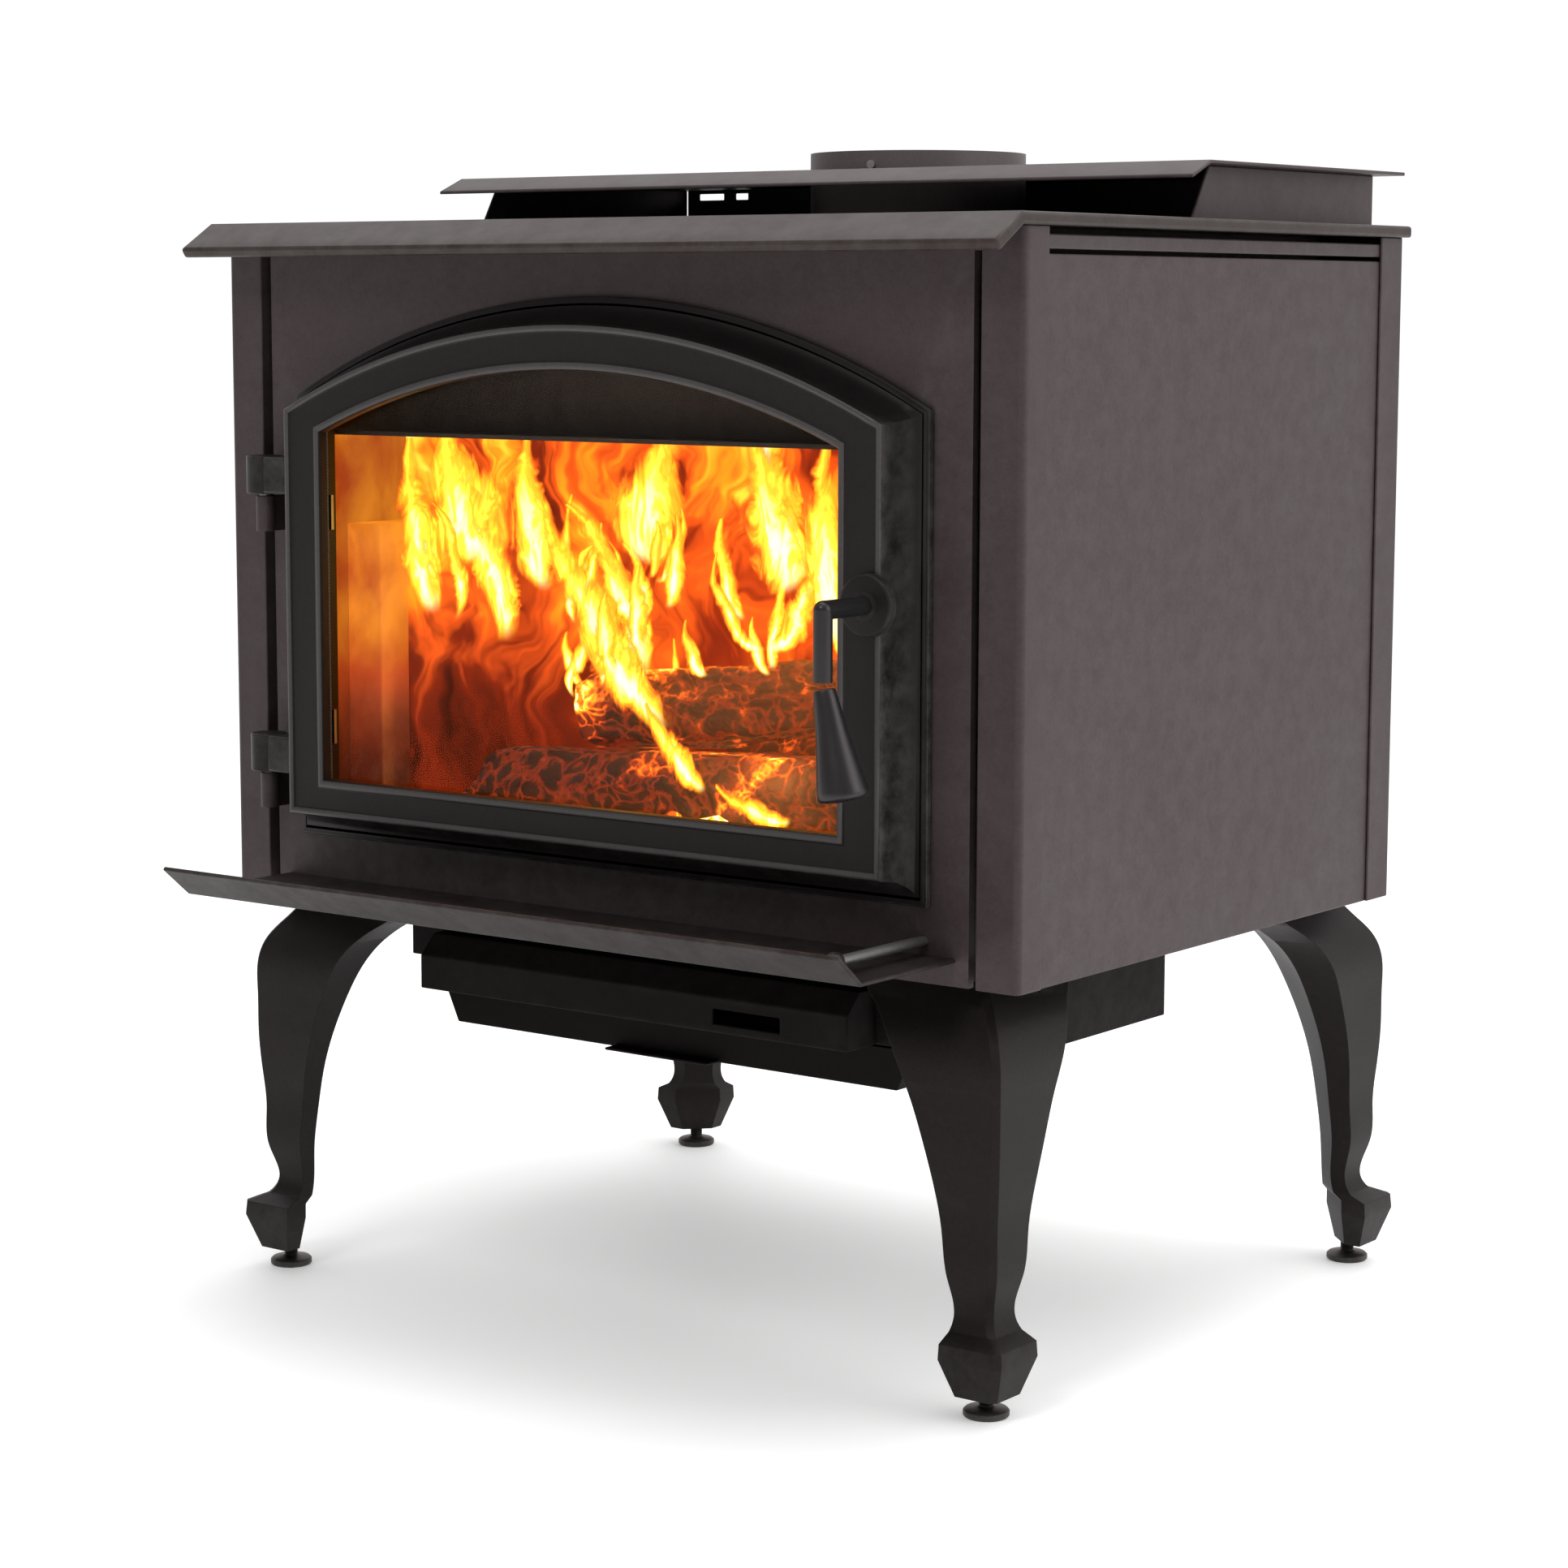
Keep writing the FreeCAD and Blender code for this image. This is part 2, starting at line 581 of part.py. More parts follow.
def make_posts():
    """Bent corner posts: a front face, a rounded corner, a side face and a return."""
    height = "casing_height"
    inner_bend = "post_bend - sheet"
    for side, word in ((-1, "left"), (1, "right")):
        face = CASING_HALF
        corners = [
            (POST_INNER, "post_return"),
            (POST_INNER, "0"),
            (face + " - post_bend", "0"),
            (face, "post_bend"),
            (face, "post_side_width"),
            (face + " - sheet", "post_side_width"),
            (face + " - sheet", "post_bend"),
            (face + " - post_bend", "sheet"),
            (POST_INNER + " + sheet", "sheet"),
            (POST_INNER + " + sheet", "post_return"),
        ]
        corners = [("%d * (%s)" % (side, x), y) for x, y in corners]
        arcs = {2: ("post_bend", side), 6: (inner_bend, -side)}
        name_part(prism("XY", [Outline(corners, arcs)], "floor_gap", height), "front_post_" + word)
        corners = [
            (POST_INNER, "casing_depth"),
            (POST_INNER, "casing_depth - sheet"),
            (face + " - post_bend", "casing_depth - sheet"),
            (face + " - sheet", "casing_depth - post_bend"),
            (face + " - sheet", "casing_depth - rear_post_side_width"),
            (face, "casing_depth - rear_post_side_width"),
            (face, "casing_depth - post_bend"),
            (face + " - post_bend", "casing_depth"),
        ]
        corners = [("%d * (%s)" % (side, x), y) for x, y in corners]
        arcs = {2: (inner_bend, -side), 6: ("post_bend", side)}
        name_part(prism("XY", [Outline(corners, arcs)], "floor_gap", height), "rear_post_" + word)


def make_side_panels():
    """Side panels behind the posts' side faces, and the rails in the vent above them."""
    lap = ("post_side_width - panel_lap", "casing_depth - rear_post_side_width + panel_lap")
    face = CASING_HALF + " - sheet"
    panel_top = "%s - vent_height" % CASING_TOP
    rail_top = "%s - rail_drop" % CASING_TOP
    rails = []
    for side, word in ((-1, "left"), (1, "right")):
        reach = span(side, face + " - sheet", face)
        name_part(box(reach, lap, ("floor_gap", panel_top)), "side_panel_" + word)
        reach = span(side, face + " - rail_depth", face)
        rails.append(box(reach, lap, (rail_top + " - rail_height", rail_top)))
    name_part(group(rails), "side_rails")


# Heights of the casing ties as shares of the casing's height.
TIE_SHARES = (0, 0.5, 0.9)


def make_casing_ties():
    """Cross ties that hold the side panels off the hot firebox sides."""
    ties = []
    reach = (FIREBOX_HALF, CASING_HALF + " - 2 * sheet")
    fronts = ("post_side_width", "casing_depth - rear_post_side_width - tie_thickness")
    for side in (-1, 1):
        for share in TIE_SHARES:
            low = "(floor_gap + casing_height * %s)" % share
            for front in fronts:
                depth = (front, front + " + tie_thickness")
                ties.append(box(span(side, *reach), depth, (low, low + " + tie_height")))
    name_part(group(ties), "casing_ties")


def make_rear_shield():
    """Rear heat shield with two vent slots near each upper corner."""
    top = "(%s + deflector_lift)" % TOP_FACE
    half = "(support_offset - deflector_sheet)"
    depth = ("casing_depth", "casing_depth + sheet")
    panel = box(("-" + half, half), depth, ("floor_gap + shield_lift", top))
    cutter = ("casing_depth - sheet", "casing_depth + 2 * sheet")
    levels = (top + " - slot_drop - slot_height", top + " - slot_drop")
    slots = []
    for side in (-1, 1):
        for inset, length in (
            ("slot_inset", "slot_length"),
            ("2 * slot_inset + slot_length", "slot_length / 2"),
        ):
            reach = span(side, "%s - (%s) - %s" % (half, inset, length), "%s - (%s)" % (half, inset))
            slots.append(box(reach, cutter, levels))
    name_part(cut(panel, *slots), "rear_heat_shield")


def make_deflector():
    """Raised deflector over the top plate, standing on two side supports."""
    low = "(%s + deflector_lift)" % TOP_FACE
    high = "(%s + deflector_lift + deflector_sheet)" % TOP_FACE
    lip_front = "deflector_front - deflector_lip_run"
    section = Outline([
        ("deflector_rear", low),
        ("deflector_rear", high),
        ("deflector_front", high),
        (lip_front, high + " - deflector_lip_drop"),
        (lip_front, low + " - deflector_lip_drop"),
        ("deflector_front", low),
    ])
    plate = prism("YZ", [section], "-deflector_half_width", "2 * deflector_half_width")
    clearance = "collar_bore_radius + collar_wall + deflector_clearance"
    hole = rod("z", clearance, "5 * deflector_sheet", "0", "collar_y", low + " - deflector_sheet")
    name_part(cut(plate, hole), "deflector_plate")
    for side, word in ((-1, "left"), (1, "right")):
        section = Outline([
            ("support_front", TOP_FACE),
            ("casing_depth", TOP_FACE),
            ("casing_depth", low),
            ("support_front + support_rake", low),
        ])
        start = "support_offset - deflector_sheet" if side > 0 else "-support_offset"
        name_part(prism("YZ", [section], start, "deflector_sheet"), "deflector_support_" + word)


def make_ash_shelf():
    """Ash shelf in front of the door sill, folded up and outward at its front edge."""
    slope = "sqrt(shelf_lip_run^2 + shelf_lip_rise^2)"
    rise = "shelf_thickness * shelf_lip_run / %s" % slope
    run = "shelf_thickness * shelf_lip_rise / %s" % slope
    fold = "shelf_thickness * (%s - shelf_lip_run) / shelf_lip_rise" % slope
    low = "(shelf_height - shelf_thickness)"
    section = Outline([
        (PLATE_FRONT, low),
        (PLATE_FRONT, "shelf_height"),
        ("-shelf_depth + %s" % fold, "shelf_height"),
        ("-shelf_depth - shelf_lip_run + %s" % run, low + " + shelf_lip_rise + %s" % rise),
        ("-shelf_depth - shelf_lip_run", low + " + shelf_lip_rise"),
        ("-shelf_depth", low),
    ])
    name_part(prism("YZ", [section], "-shelf_half_width", "2 * shelf_half_width"), "ash_shelf")


def pan_outline(inset):
    """Return the pan's plan: full width behind the front legs, narrower between them."""
    wide = "(pan_half_width - %s)" % inset
    narrow = "(pan_neck_half_width - %s)" % inset
    front = "pan_front + %s" % inset
    step = "pan_front + pan_neck + %s" % inset
    rear = "pan_front + pan_length - %s" % inset
    return Outline([
        ("-" + narrow, front), (narrow, front), (narrow, step), (wide, step),
        (wide, rear), ("-" + wide, rear), ("-" + wide, step), ("-" + narrow, step),
    ])


def make_convection_pan():
    """Open-topped pan under the firebox floor, notched around the front legs."""
    shell = prism("XY", [pan_outline("0")], PAN_BOTTOM, "pan_depth")
    room = prism("XY", [pan_outline("sheet")], PAN_BOTTOM + " + sheet", "pan_depth")
    name_part(cut(shell, room), "convection_pan")


def make_drawer_runners():
    """Runners of L section that hang the ash drawer under the pan."""
    runners = []
    low = "(%s - runner_height)" % PAN_BOTTOM
    edge = "(drawer_top_half + drawer_rim + drawer_clearance)"
    depth = ("pan_front + air_box_chamfer", "pan_front + pan_length")
    for side in (-1, 1):
        upright = box(span(side, edge, edge + " + sheet"), depth, (low, PAN_BOTTOM))
        foot = box(span(side, "drawer_top_half + 2 * drawer_clearance", edge + " + sheet"), depth,
                   (low, low + " + sheet"))
        runners.append(fuse(upright, foot))
    name_part(group(runners), "drawer_runners")


def make_air_box():
    """Air inlet box on the front of the pan, with its inlet slot."""
    front = "(pan_front - air_box_depth)"
    top = "(%s + air_box_height)" % PAN_BOTTOM
    section = Outline([
        (front, PAN_BOTTOM),
        ("pan_front", PAN_BOTTOM),
        ("pan_front", top),
        (front + " + air_box_chamfer", top),
        (front, top + " - air_box_chamfer"),
    ])
    shell = prism("YZ", [section], "-air_box_half_width", "2 * air_box_half_width")
    hollow = box(
        ("-air_box_half_width + sheet", "air_box_half_width - sheet"),
        (front + " + sheet", "pan_front - sheet"),
        (PAN_BOTTOM + " + sheet", top + " - air_box_chamfer"))
    inlet = box(
        ("inlet_offset", "inlet_offset + inlet_length"),
        (front + " - sheet", front + " + 2 * sheet"),
        (PAN_BOTTOM + " + inlet_lift", PAN_BOTTOM + " + inlet_lift + inlet_height"))
    name_part(cut(shell, hollow, inlet), "air_inlet_box")


def make_ash_drawer():
    """Ash drawer with sloped ends that slides forward on its runners."""
    top = "(%s - runner_height + 2 * sheet + running_gap)" % PAN_BOTTOM
    low = top + " - drawer_height"
    half = "drawer_top_half"
    base = "drawer_bottom_half"
    rim = "(drawer_top_half + drawer_rim)"
    section = Outline([
        ("-" + rim, top), ("-" + rim, top + " - sheet"), ("-" + half, top + " - sheet"),
        ("-" + base, low), (base, low), (half, top + " - sheet"),
        (rim, top + " - sheet"), (rim, top),
    ])
    rear = "drawer_front + drawer_length"
    tray = prism("XZ", [section], rear, "drawer_length")
    hollow = Outline([
        ("-%s + sheet" % half, top + " + sheet"), ("-%s + sheet" % base, low + " + sheet"),
        ("%s - sheet" % base, low + " + sheet"), ("%s - sheet" % half, top + " + sheet"),
    ])
    room = prism("XZ", [hollow], rear + " - sheet", "drawer_length - 2 * sheet")
    pull = box(
        ("-pull_half_width", "pull_half_width"),
        ("drawer_front - pull_depth", "drawer_front + sheet"),
        (low, low + " + sheet"))
    name_part(fuse(cut(tray, room), pull), "ash_drawer")


def make_air_control():
    """Push-pull air control: rod with a damper disc, and its knob."""
    front = "-rod_front"
    shaft = rod("y", "rod_radius", "rod_front + rod_rear", "rod_offset", front, ROD_Z)
    disc = rod("y", "2 * rod_radius", "sheet", "rod_offset", "rod_rear - sheet", ROD_Z)
    name_part(fuse(shaft, disc), "air_control_rod")
    ball = doc.addObject("Part::Sphere", helper_name("ball"))
    ball.setExpression("Radius", bind("knob_radius"))
    place(ball, "rod_offset", "-rod_front - sheet", ROD_Z)
    socket = rod("y", "rod_radius", "rod_front", "rod_offset", front, ROD_Z)
    name_part(cut(ball, socket), "air_control_knob")


# Leg stations from the top down: share of the leg's height, ridge moved in, width.
LEG_STATIONS = (
    (1.00, 30, 88),
    (0.92, 16, 90),
    (0.85, 5, 84),
    (0.76, 0, 76),
    (0.67, 0, 66.5),
    (0.57, 0, 58),
    (0.43, 1.5, 47.5),
    (0.29, 3.5, 40),
    (0.16, 4.5, 35.5),
    (0.00, 4, 34),
)
# Boot stations from the top down: share of the boot's height, flare used, width.
BOOT_STATIONS = (
    (1.0, -0.5, 34),
    (0.87, 0.9, 45),
    (0.62, 1, 46),
    (0.0, 0, 30),
)


def leg_wire(ridge, inset, width, height):
    """Return a leg's section: a chamfered ridge, two faces and a sloped inner back."""
    x, y, side, depth = ridge
    chamfer = value("leg_chamfer")
    web = width * value("leg_web")
    corners = ((chamfer, 0), (width, 0), (width, web), (web, width), (0, width), (0, chamfer))
    points = [Vector(x - side * (inset + u), y + depth * (inset + v), height) for u, v in corners]
    return Part.makePolygon(points + points[:1])


def leg_shape(ridge, stem, bolt):
    """Return one cast leg: curved upper limb, flared boot, and bores for stem and bolt."""
    top, boot_top, low = value("floor_gap"), value("foot_gap + boot_height"), value("foot_gap")
    limb = [leg_wire(ridge, inset, width, boot_top + (top - boot_top) * share)
            for share, inset, width in LEG_STATIONS]
    boot = [leg_wire(ridge, -flare * value("boot_flare"), width, low + (boot_top - low) * share)
            for share, flare, width in BOOT_STATIONS]
    stem_bore = Part.makeCylinder(
        value("stem_radius + stem_clearance"), value("stem_length + foot_thickness"),
        Vector(*stem, value("foot_thickness")))
    bolt_bore = Part.makeCylinder(
        value("bolt_radius"), value("bolt_depth"), Vector(*bolt, top - value("bolt_depth")))
    solid = Part.makeLoft(limb, True, False).fuse(Part.makeLoft(boot, True, True))
    return solid.cut(stem_bore).cut(bolt_bore)


def make_legs():
    """Cast legs at the four corners, their bolts, and the levelling feet."""
    ridge_x = value("casing_width / 2 - leg_inset")
    bolts = []
    for depth, word_y in ((1, "front"), (-1, "rear")):
        ridge_y = value("leg_front" if depth > 0 else "leg_rear")
        for side, word_x in ((-1, "left"), (1, "right")):
            ridge = (side * ridge_x, ridge_y, side, depth)
            stem = (ridge[0] - side * value("stem_inset"), ridge_y + depth * value("stem_inset"))
            bolt = (ridge[0] - side * value("bolt_inset"), ridge_y + depth * value("bolt_inset"))
            leg = doc.addObject("Part::Feature", helper_name("leg"))
            leg.Shape = leg_shape(ridge, stem, bolt)
            leg.Placement = FreeCAD.Placement(Vector(0, value(DATUM_Y), 0), FreeCAD.Rotation())
            name_part(leg, "leg_%s_%s" % (word_y, word_x))
            x, y = str(stem[0]), str(stem[1])
            pad = rod("z", "foot_radius", "foot_thickness", x, y, "0")
            screw = rod("z", "stem_radius", "stem_length", x, y, "foot_thickness")
            name_part(fuse(pad, screw), "foot_%s_%s" % (word_y, word_x))
            bolts.append(leg_bolt(str(bolt[0]), str(bolt[1])))
    name_part(group(bolts), "leg_bolts")


def leg_bolt(x, y):
    """Return a leg bolt with a flush head in the firebox floor."""
    shaft = rod("z", "bolt_radius", "bolt_depth + plate", x, y, "floor_gap - bolt_depth")
    head = rod("z", "bolt_head_radius", "bolt_head", x, y, "%s - bolt_head" % FIREBOX_FLOOR)
    return fuse(shaft, head)


def make_door():
    """Cast door frame with hinge ears, its glass, seals and glass clips."""
    body = new_body()
    base = add_sketch(body, "XZ", [arch(*FLANGE)], "-" + FLANGE_BACK)
    add_pad(body, base, "flange_thickness")
    back = add_sketch(body, "XZ", [inset_arch(*FLANGE, "flange_land")], "-" + FLANGE_FRONT)
    front = add_sketch(body, "XZ", [arch(*RIM)], "door_depth")
    doc.recompute()
    loft = body.newObject("PartDesign::AdditiveLoft", helper_name("loft"))
    loft.Profile = back
    loft.Sections = [front]
    loft.Ruled = True
    hole = add_sketch(body, "XZ", [arch(*OPENING)], "door_depth")
    add_pocket(body, hole, "2 * door_depth", False)
    seat_outline = inset_arch(*OPENING, "-(glass_overlap + glass_play)")
    seat = add_sketch(body, "XZ", [seat_outline], "-" + FLANGE_BACK)
    add_pocket(body, seat, "%s + (door_depth - frame_face)" % FLANGE_BACK, True)
    ledge_outline = inset_arch(*OPENING, "-(glass_overlap + glass_play + ledge_width)")
    ledge = add_sketch(body, "XZ", [ledge_outline], "-" + FLANGE_BACK)
    add_pocket(body, ledge, "%s - %s" % (FLANGE_BACK, GLASS_BACK), True)
    channel = add_sketch(
        body, "XZ",
        [inset_arch(*FLANGE, "rope_inset"), inset_arch(*FLANGE, "rope_inset + rope_width")],
        "-" + FLANGE_BACK)
    add_pocket(body, channel, "rope_depth", True)
    place(body, y="0")
    ears = []
    bores = []
    for low in ("upper_ear_bottom", "lower_ear_bottom"):
        drum = rod("z", "ear_radius", "ear_height", "-hinge_offset", "-hinge_forward", low)
        arm = box(
            ("-hinge_offset", "-door_half_width"),
            ("-hinge_forward - arm_front", "-hinge_forward + arm_rear"),
            (low, "%s + ear_height" % low))
        ears += [drum, arm]
        bores.append(rod("z", "hinge_pin_radius + hinge_clearance", "ear_height - ear_cap + ear_gap",
                         "-hinge_offset", "-hinge_forward", "%s - ear_gap" % low))
    spindle_hole = rod("y", "spindle_radius + spindle_clearance", "3 * door_depth",
                       "handle_offset", "-2 * door_depth", "handle_height")
    name_part(cut(fuse(body, *ears), spindle_hole, *bores), "door_frame")
    glass = prism("XZ", [inset_arch(*OPENING, "-glass_overlap")], GLASS_BACK, "glass_thickness")
    name_part(glass, "door_glass")
    ring = [inset_arch(*OPENING, "-glass_overlap"), inset_arch(*OPENING, "-glass_play")]
    seal = prism("XZ", ring, "frame_face + gasket_thickness - door_depth", "gasket_thickness")
    name_part(seal, "glass_gasket")
    rope = [
        inset_arch(*FLANGE, "rope_inset + rope_play"),
        inset_arch(*FLANGE, "rope_inset + rope_width - rope_play"),
    ]
    name_part(prism("XZ", rope, FLANGE_BACK, "rope_depth"), "door_rope_seal")


def make_glass_clips():
    """Clips that hold the glass against the door frame, and their screws."""
    half = "(door_half_width - frame_border)"
    bottom = "(door_bottom + border_bottom)"
    crown = "(door_peak - border_top)"
    inner = "(glass_overlap - clip_grip)"
    outer = "(glass_overlap + glass_play + ledge_width - rope_margin)"
    spots = []
    for level in ("handle_height - clip_drop", "handle_height + clip_rise"):
        for side in (-1, 1):
            x_low, x_high = span(side, "%s + %s" % (half, inner), "%s + %s" % (half, outer))
            spots.append((x_low, x_high, level + " - clip_length / 2", level + " + clip_length / 2"))
    for step in (-1, 0, 1):
        middle = "%d * clip_spacing" % step
        spots.append((middle + " - clip_length / 2", middle + " + clip_length / 2",
                      "%s - %s" % (bottom, outer), "%s - %s" % (bottom, inner)))
    spots.append(("-clip_length / 2", "clip_length / 2", "%s + %s" % (crown, inner),
                  "%s + %s - rope_margin" % (crown, outer)))
    clips = []
    screws = []
    clip_back = "%s + clip_thickness" % GLASS_BACK
    for x_low, x_high, z_low, z_high in spots:
        clips.append(box((x_low, x_high), (GLASS_BACK, clip_back), (z_low, z_high)))
        screws.append(rod("y", "clip_screw_radius", "clip_thickness", "((%s) + (%s)) / 2" % (x_low, x_high),
                          clip_back, "((%s) + (%s)) / 2" % (z_low, z_high)))
    name_part(group(clips), "glass_clips")
    name_part(group(screws), "glass_clip_screws")


def make_hinges():
    """Hinge knuckles welded to the front plate and the pins that stand in them."""
    knuckles = []
    pins = []
    for ear in ("upper_ear_bottom", "lower_ear_bottom"):
        low = "(%s - ear_gap - knuckle_height)" % ear
        seat = low + " + pin_seat"
        tube = rod("z", "knuckle_radius", "knuckle_height", "-hinge_offset", "-hinge_forward", low)
        web = box(
            ("-hinge_offset - knuckle_web / 2", "-hinge_offset + knuckle_web / 2"),
            ("-hinge_forward", PLATE_FRONT),
            (low, low + " + knuckle_height"))
        bore = rod("z", "hinge_pin_radius", "knuckle_height", "-hinge_offset", "-hinge_forward", seat)
        knuckles.append(cut(fuse(tube, web), bore))
        length = "knuckle_height - pin_seat + ear_gap + ear_height - ear_cap - pin_end_gap"
        pins.append(rod("z", "hinge_pin_radius", length, "-hinge_offset", "-hinge_forward", seat))
    name_part(group(knuckles), "hinge_knuckles")
    name_part(group(pins), "hinge_pins")


def make_handle():
    """Door handle: boss, spindle and lever, tapered grip, latch cam and nut."""
    hole = rod("y", "spindle_radius + spindle_clearance", "3 * boss_height", "handle_offset",
               "-door_depth - 2 * boss_height", "handle_height")
    boss = rod("y", "boss_radius", "boss_height", "handle_offset",
               "-door_depth - boss_height", "handle_height")
    name_part(cut(boss, hole), "handle_boss")
    spindle_front = "(-door_depth - handle_reach)"
    cam_front = "(%s + strike_thickness + strike_gap)" % PLATE_REAR
    nut_rear = "(%s + cam_thickness + nut_height + sheet)" % cam_front
    spindle = rod("y", "spindle_radius", "%s - %s" % (nut_rear, spindle_front), "handle_offset",
                  spindle_front, "handle_height")
    knee = doc.addObject("Part::Sphere", helper_name("ball"))
    knee.setExpression("Radius", bind("spindle_radius"))
    place(knee, "handle_offset", spindle_front, "handle_height")
    drop = rod("z", "spindle_radius", "lever_drop", "handle_offset", spindle_front,
               "handle_height - lever_drop")
    name_part(fuse(spindle, knee, drop), "handle_lever")
    grip = doc.addObject("Part::Cone", helper_name("round"))
    grip.setExpression("Radius1", bind("grip_top_radius"))
    grip.setExpression("Radius2", bind("grip_bottom_radius"))
    grip.setExpression("Height", bind("grip_length"))
    grip.Placement = FreeCAD.Placement(
        Vector(), FreeCAD.Rotation(Vector(0, 1, 0), 180 - value("grip_lean")))
    top_z = "handle_height - lever_drop + grip_rise"
    place(grip, "handle_offset", spindle_front, top_z)
    clip = box(
        ("handle_offset - grip_length", "handle_offset + grip_length"),
        ("%s - grip_length" % spindle_front, "%s + grip_length" % spindle_front),
        ("handle_height - lever_drop", "handle_height"))
    name_part(cut(grip, clip), "handle_grip")
    cam_bar = box(
        ("handle_offset - cam_width / 2", "handle_offset + cam_width / 2"),
        (cam_front, "%s + cam_thickness" % cam_front),
        ("handle_height - cam_length", "handle_height"))
    cam_eye = rod("y", "spindle_radius + eye_wall", "cam_thickness", "handle_offset", cam_front,
                  "handle_height")
    shaft = rod("y", "spindle_radius", "3 * cam_thickness", "handle_offset",
                "%s - cam_thickness" % cam_front, "handle_height")
    name_part(cut(fuse(cam_bar, cam_eye), shaft), "latch_cam")
    nut = doc.addObject("Part::Prism", helper_name("nut"))
    nut.Polygon = 6
    nut.setExpression("Circumradius", bind("spindle_radius + eye_wall"))
    nut.setExpression("Height", bind("nut_height"))
    nut.Placement = FreeCAD.Placement(Vector(), TURNS["y"])
    place(nut, "handle_offset", "%s + cam_thickness" % cam_front, "handle_height")
    thread = rod("y", "spindle_radius", "cam_thickness + 2 * nut_height", "handle_offset", cam_front,
                 "handle_height")
    name_part(cut(nut, thread), "latch_nut")
    opening_half = "(door_half_width + flare_side - rope_inset - rope_width - rope_margin)"
    strike = box(
        (opening_half + " + rope_margin", opening_half + " + rope_margin + strike_width"),
        (PLATE_REAR, PLATE_REAR + " + strike_thickness"),
        ("handle_height - strike_height / 2", "handle_height + strike_height / 2"))
    name_part(strike, "latch_strike")


def brick_row(low, high, count, make):
    """Return bricks side by side between two formulas, with the joint between them."""
    bricks = []
    pitch = "(((%s) - (%s) + brick_joint) / %d)" % (high, low, count)
    for index in range(count):
        start = "(%s) + %d * %s" % (low, index, pitch)
        bricks.append(make(start, "(%s) + %s - brick_joint" % (start, pitch)))
    return bricks


TUBE_COUNT = 4


def make_lining():
    """Firebrick lining, baffle boards, air ducts and secondary air tubes."""
    rear = "(%s - brick)" % FIREBOX_REAR
    floor_bricks = []
    for column in brick_row("-" + BRICK_FACE, BRICK_FACE, 4, lambda low, high: (low, high)):
        floor_bricks += brick_row(
            "brick_front", rear, 3,
            lambda low, high, column=column: box(column, (low, high), (FIREBOX_FLOOR, HEARTH)))
    name_part(group(floor_bricks), "hearth_bricks")
    levels = (FIREBOX_FLOOR, "%s + brick + side_brick_height" % FIREBOX_FLOOR)
    for side, word in ((-1, "left"), (1, "right")):
        reach = span(side, BRICK_FACE, FIREBOX_INNER)
        bricks = brick_row("brick_front", FIREBOX_REAR, 3,
                           lambda low, high: box(reach, (low, high), levels))
        name_part(group(bricks), "side_bricks_" + word)
    bricks = brick_row("-" + BRICK_FACE, BRICK_FACE, 4,
                       lambda low, high: box((low, high), (rear, FIREBOX_REAR), levels))
    name_part(group(bricks), "rear_bricks")
    boards = brick_row(
        "-" + FIREBOX_INNER, FIREBOX_INNER, 2,
        lambda low, high: box((low, high), ("baffle_front", FIREBOX_REAR),
                              ("baffle_height", "baffle_height + baffle_thickness")))
    name_part(group(boards), "baffle_boards")
    tubes = []
    tube_pitch = "(%s - baffle_front - 2 * tube_inset) / %d" % (FIREBOX_REAR, TUBE_COUNT - 1)
    for index in range(TUBE_COUNT):
        depth = "(baffle_front + tube_inset + %d * %s)" % (index, tube_pitch)
        level = "baffle_height - tube_radius"
        length = "2 * %s" % FIREBOX_INNER
        outer = rod("x", "tube_radius", length, "-" + FIREBOX_INNER, depth, level)
        inner = rod("x", "tube_radius - tube_wall", length + " + 2 * tube_wall",
                    "-%s - tube_wall" % FIREBOX_INNER, depth, level)
        tubes.append(cut(outer, inner))
    name_part(group(tubes), "secondary_air_tubes")
    across = ("-%s" % FIREBOX_INNER, FIREBOX_INNER)
    outer = box(across, (PLATE_REAR, PLATE_REAR + " + lintel_depth"), ("lintel_bottom", CASING_TOP))
    inner = box(
        ("-%s - duct_wall" % FIREBOX_INNER, "%s + duct_wall" % FIREBOX_INNER),
        (PLATE_REAR + " - duct_wall", PLATE_REAR + " + lintel_depth - duct_wall"),
        ("lintel_bottom + duct_wall", CASING_TOP + " + duct_wall"))
    name_part(cut(outer, inner), "air_wash_duct")
    low = FIREBOX_FLOOR
    outer = box(across, (PLATE_REAR, PLATE_REAR + " + sill_depth"), (low, low + " + sill_height"))
    inner = box(
        ("-%s - duct_wall" % FIREBOX_INNER, "%s + duct_wall" % FIREBOX_INNER),
        (PLATE_REAR + " - duct_wall", PLATE_REAR + " + sill_depth - duct_wall"),
        (low + " - duct_wall", low + " + sill_height - duct_wall"))
    name_part(cut(outer, inner), "primary_air_manifold")


LOG_SIDES = 7
# Logs: middle x, share of the hearth's depth, middle above the hearth, length, radius,
# turn and tilt in degrees.
LOGS = (
    (-45, 0.26, 41, 330, 34, 8, 1.5),
    (60, 0.60, 43, 340, 36, -10, -1.5),
    (10, 0.44, 106, 330, 32, 24, 4),
)


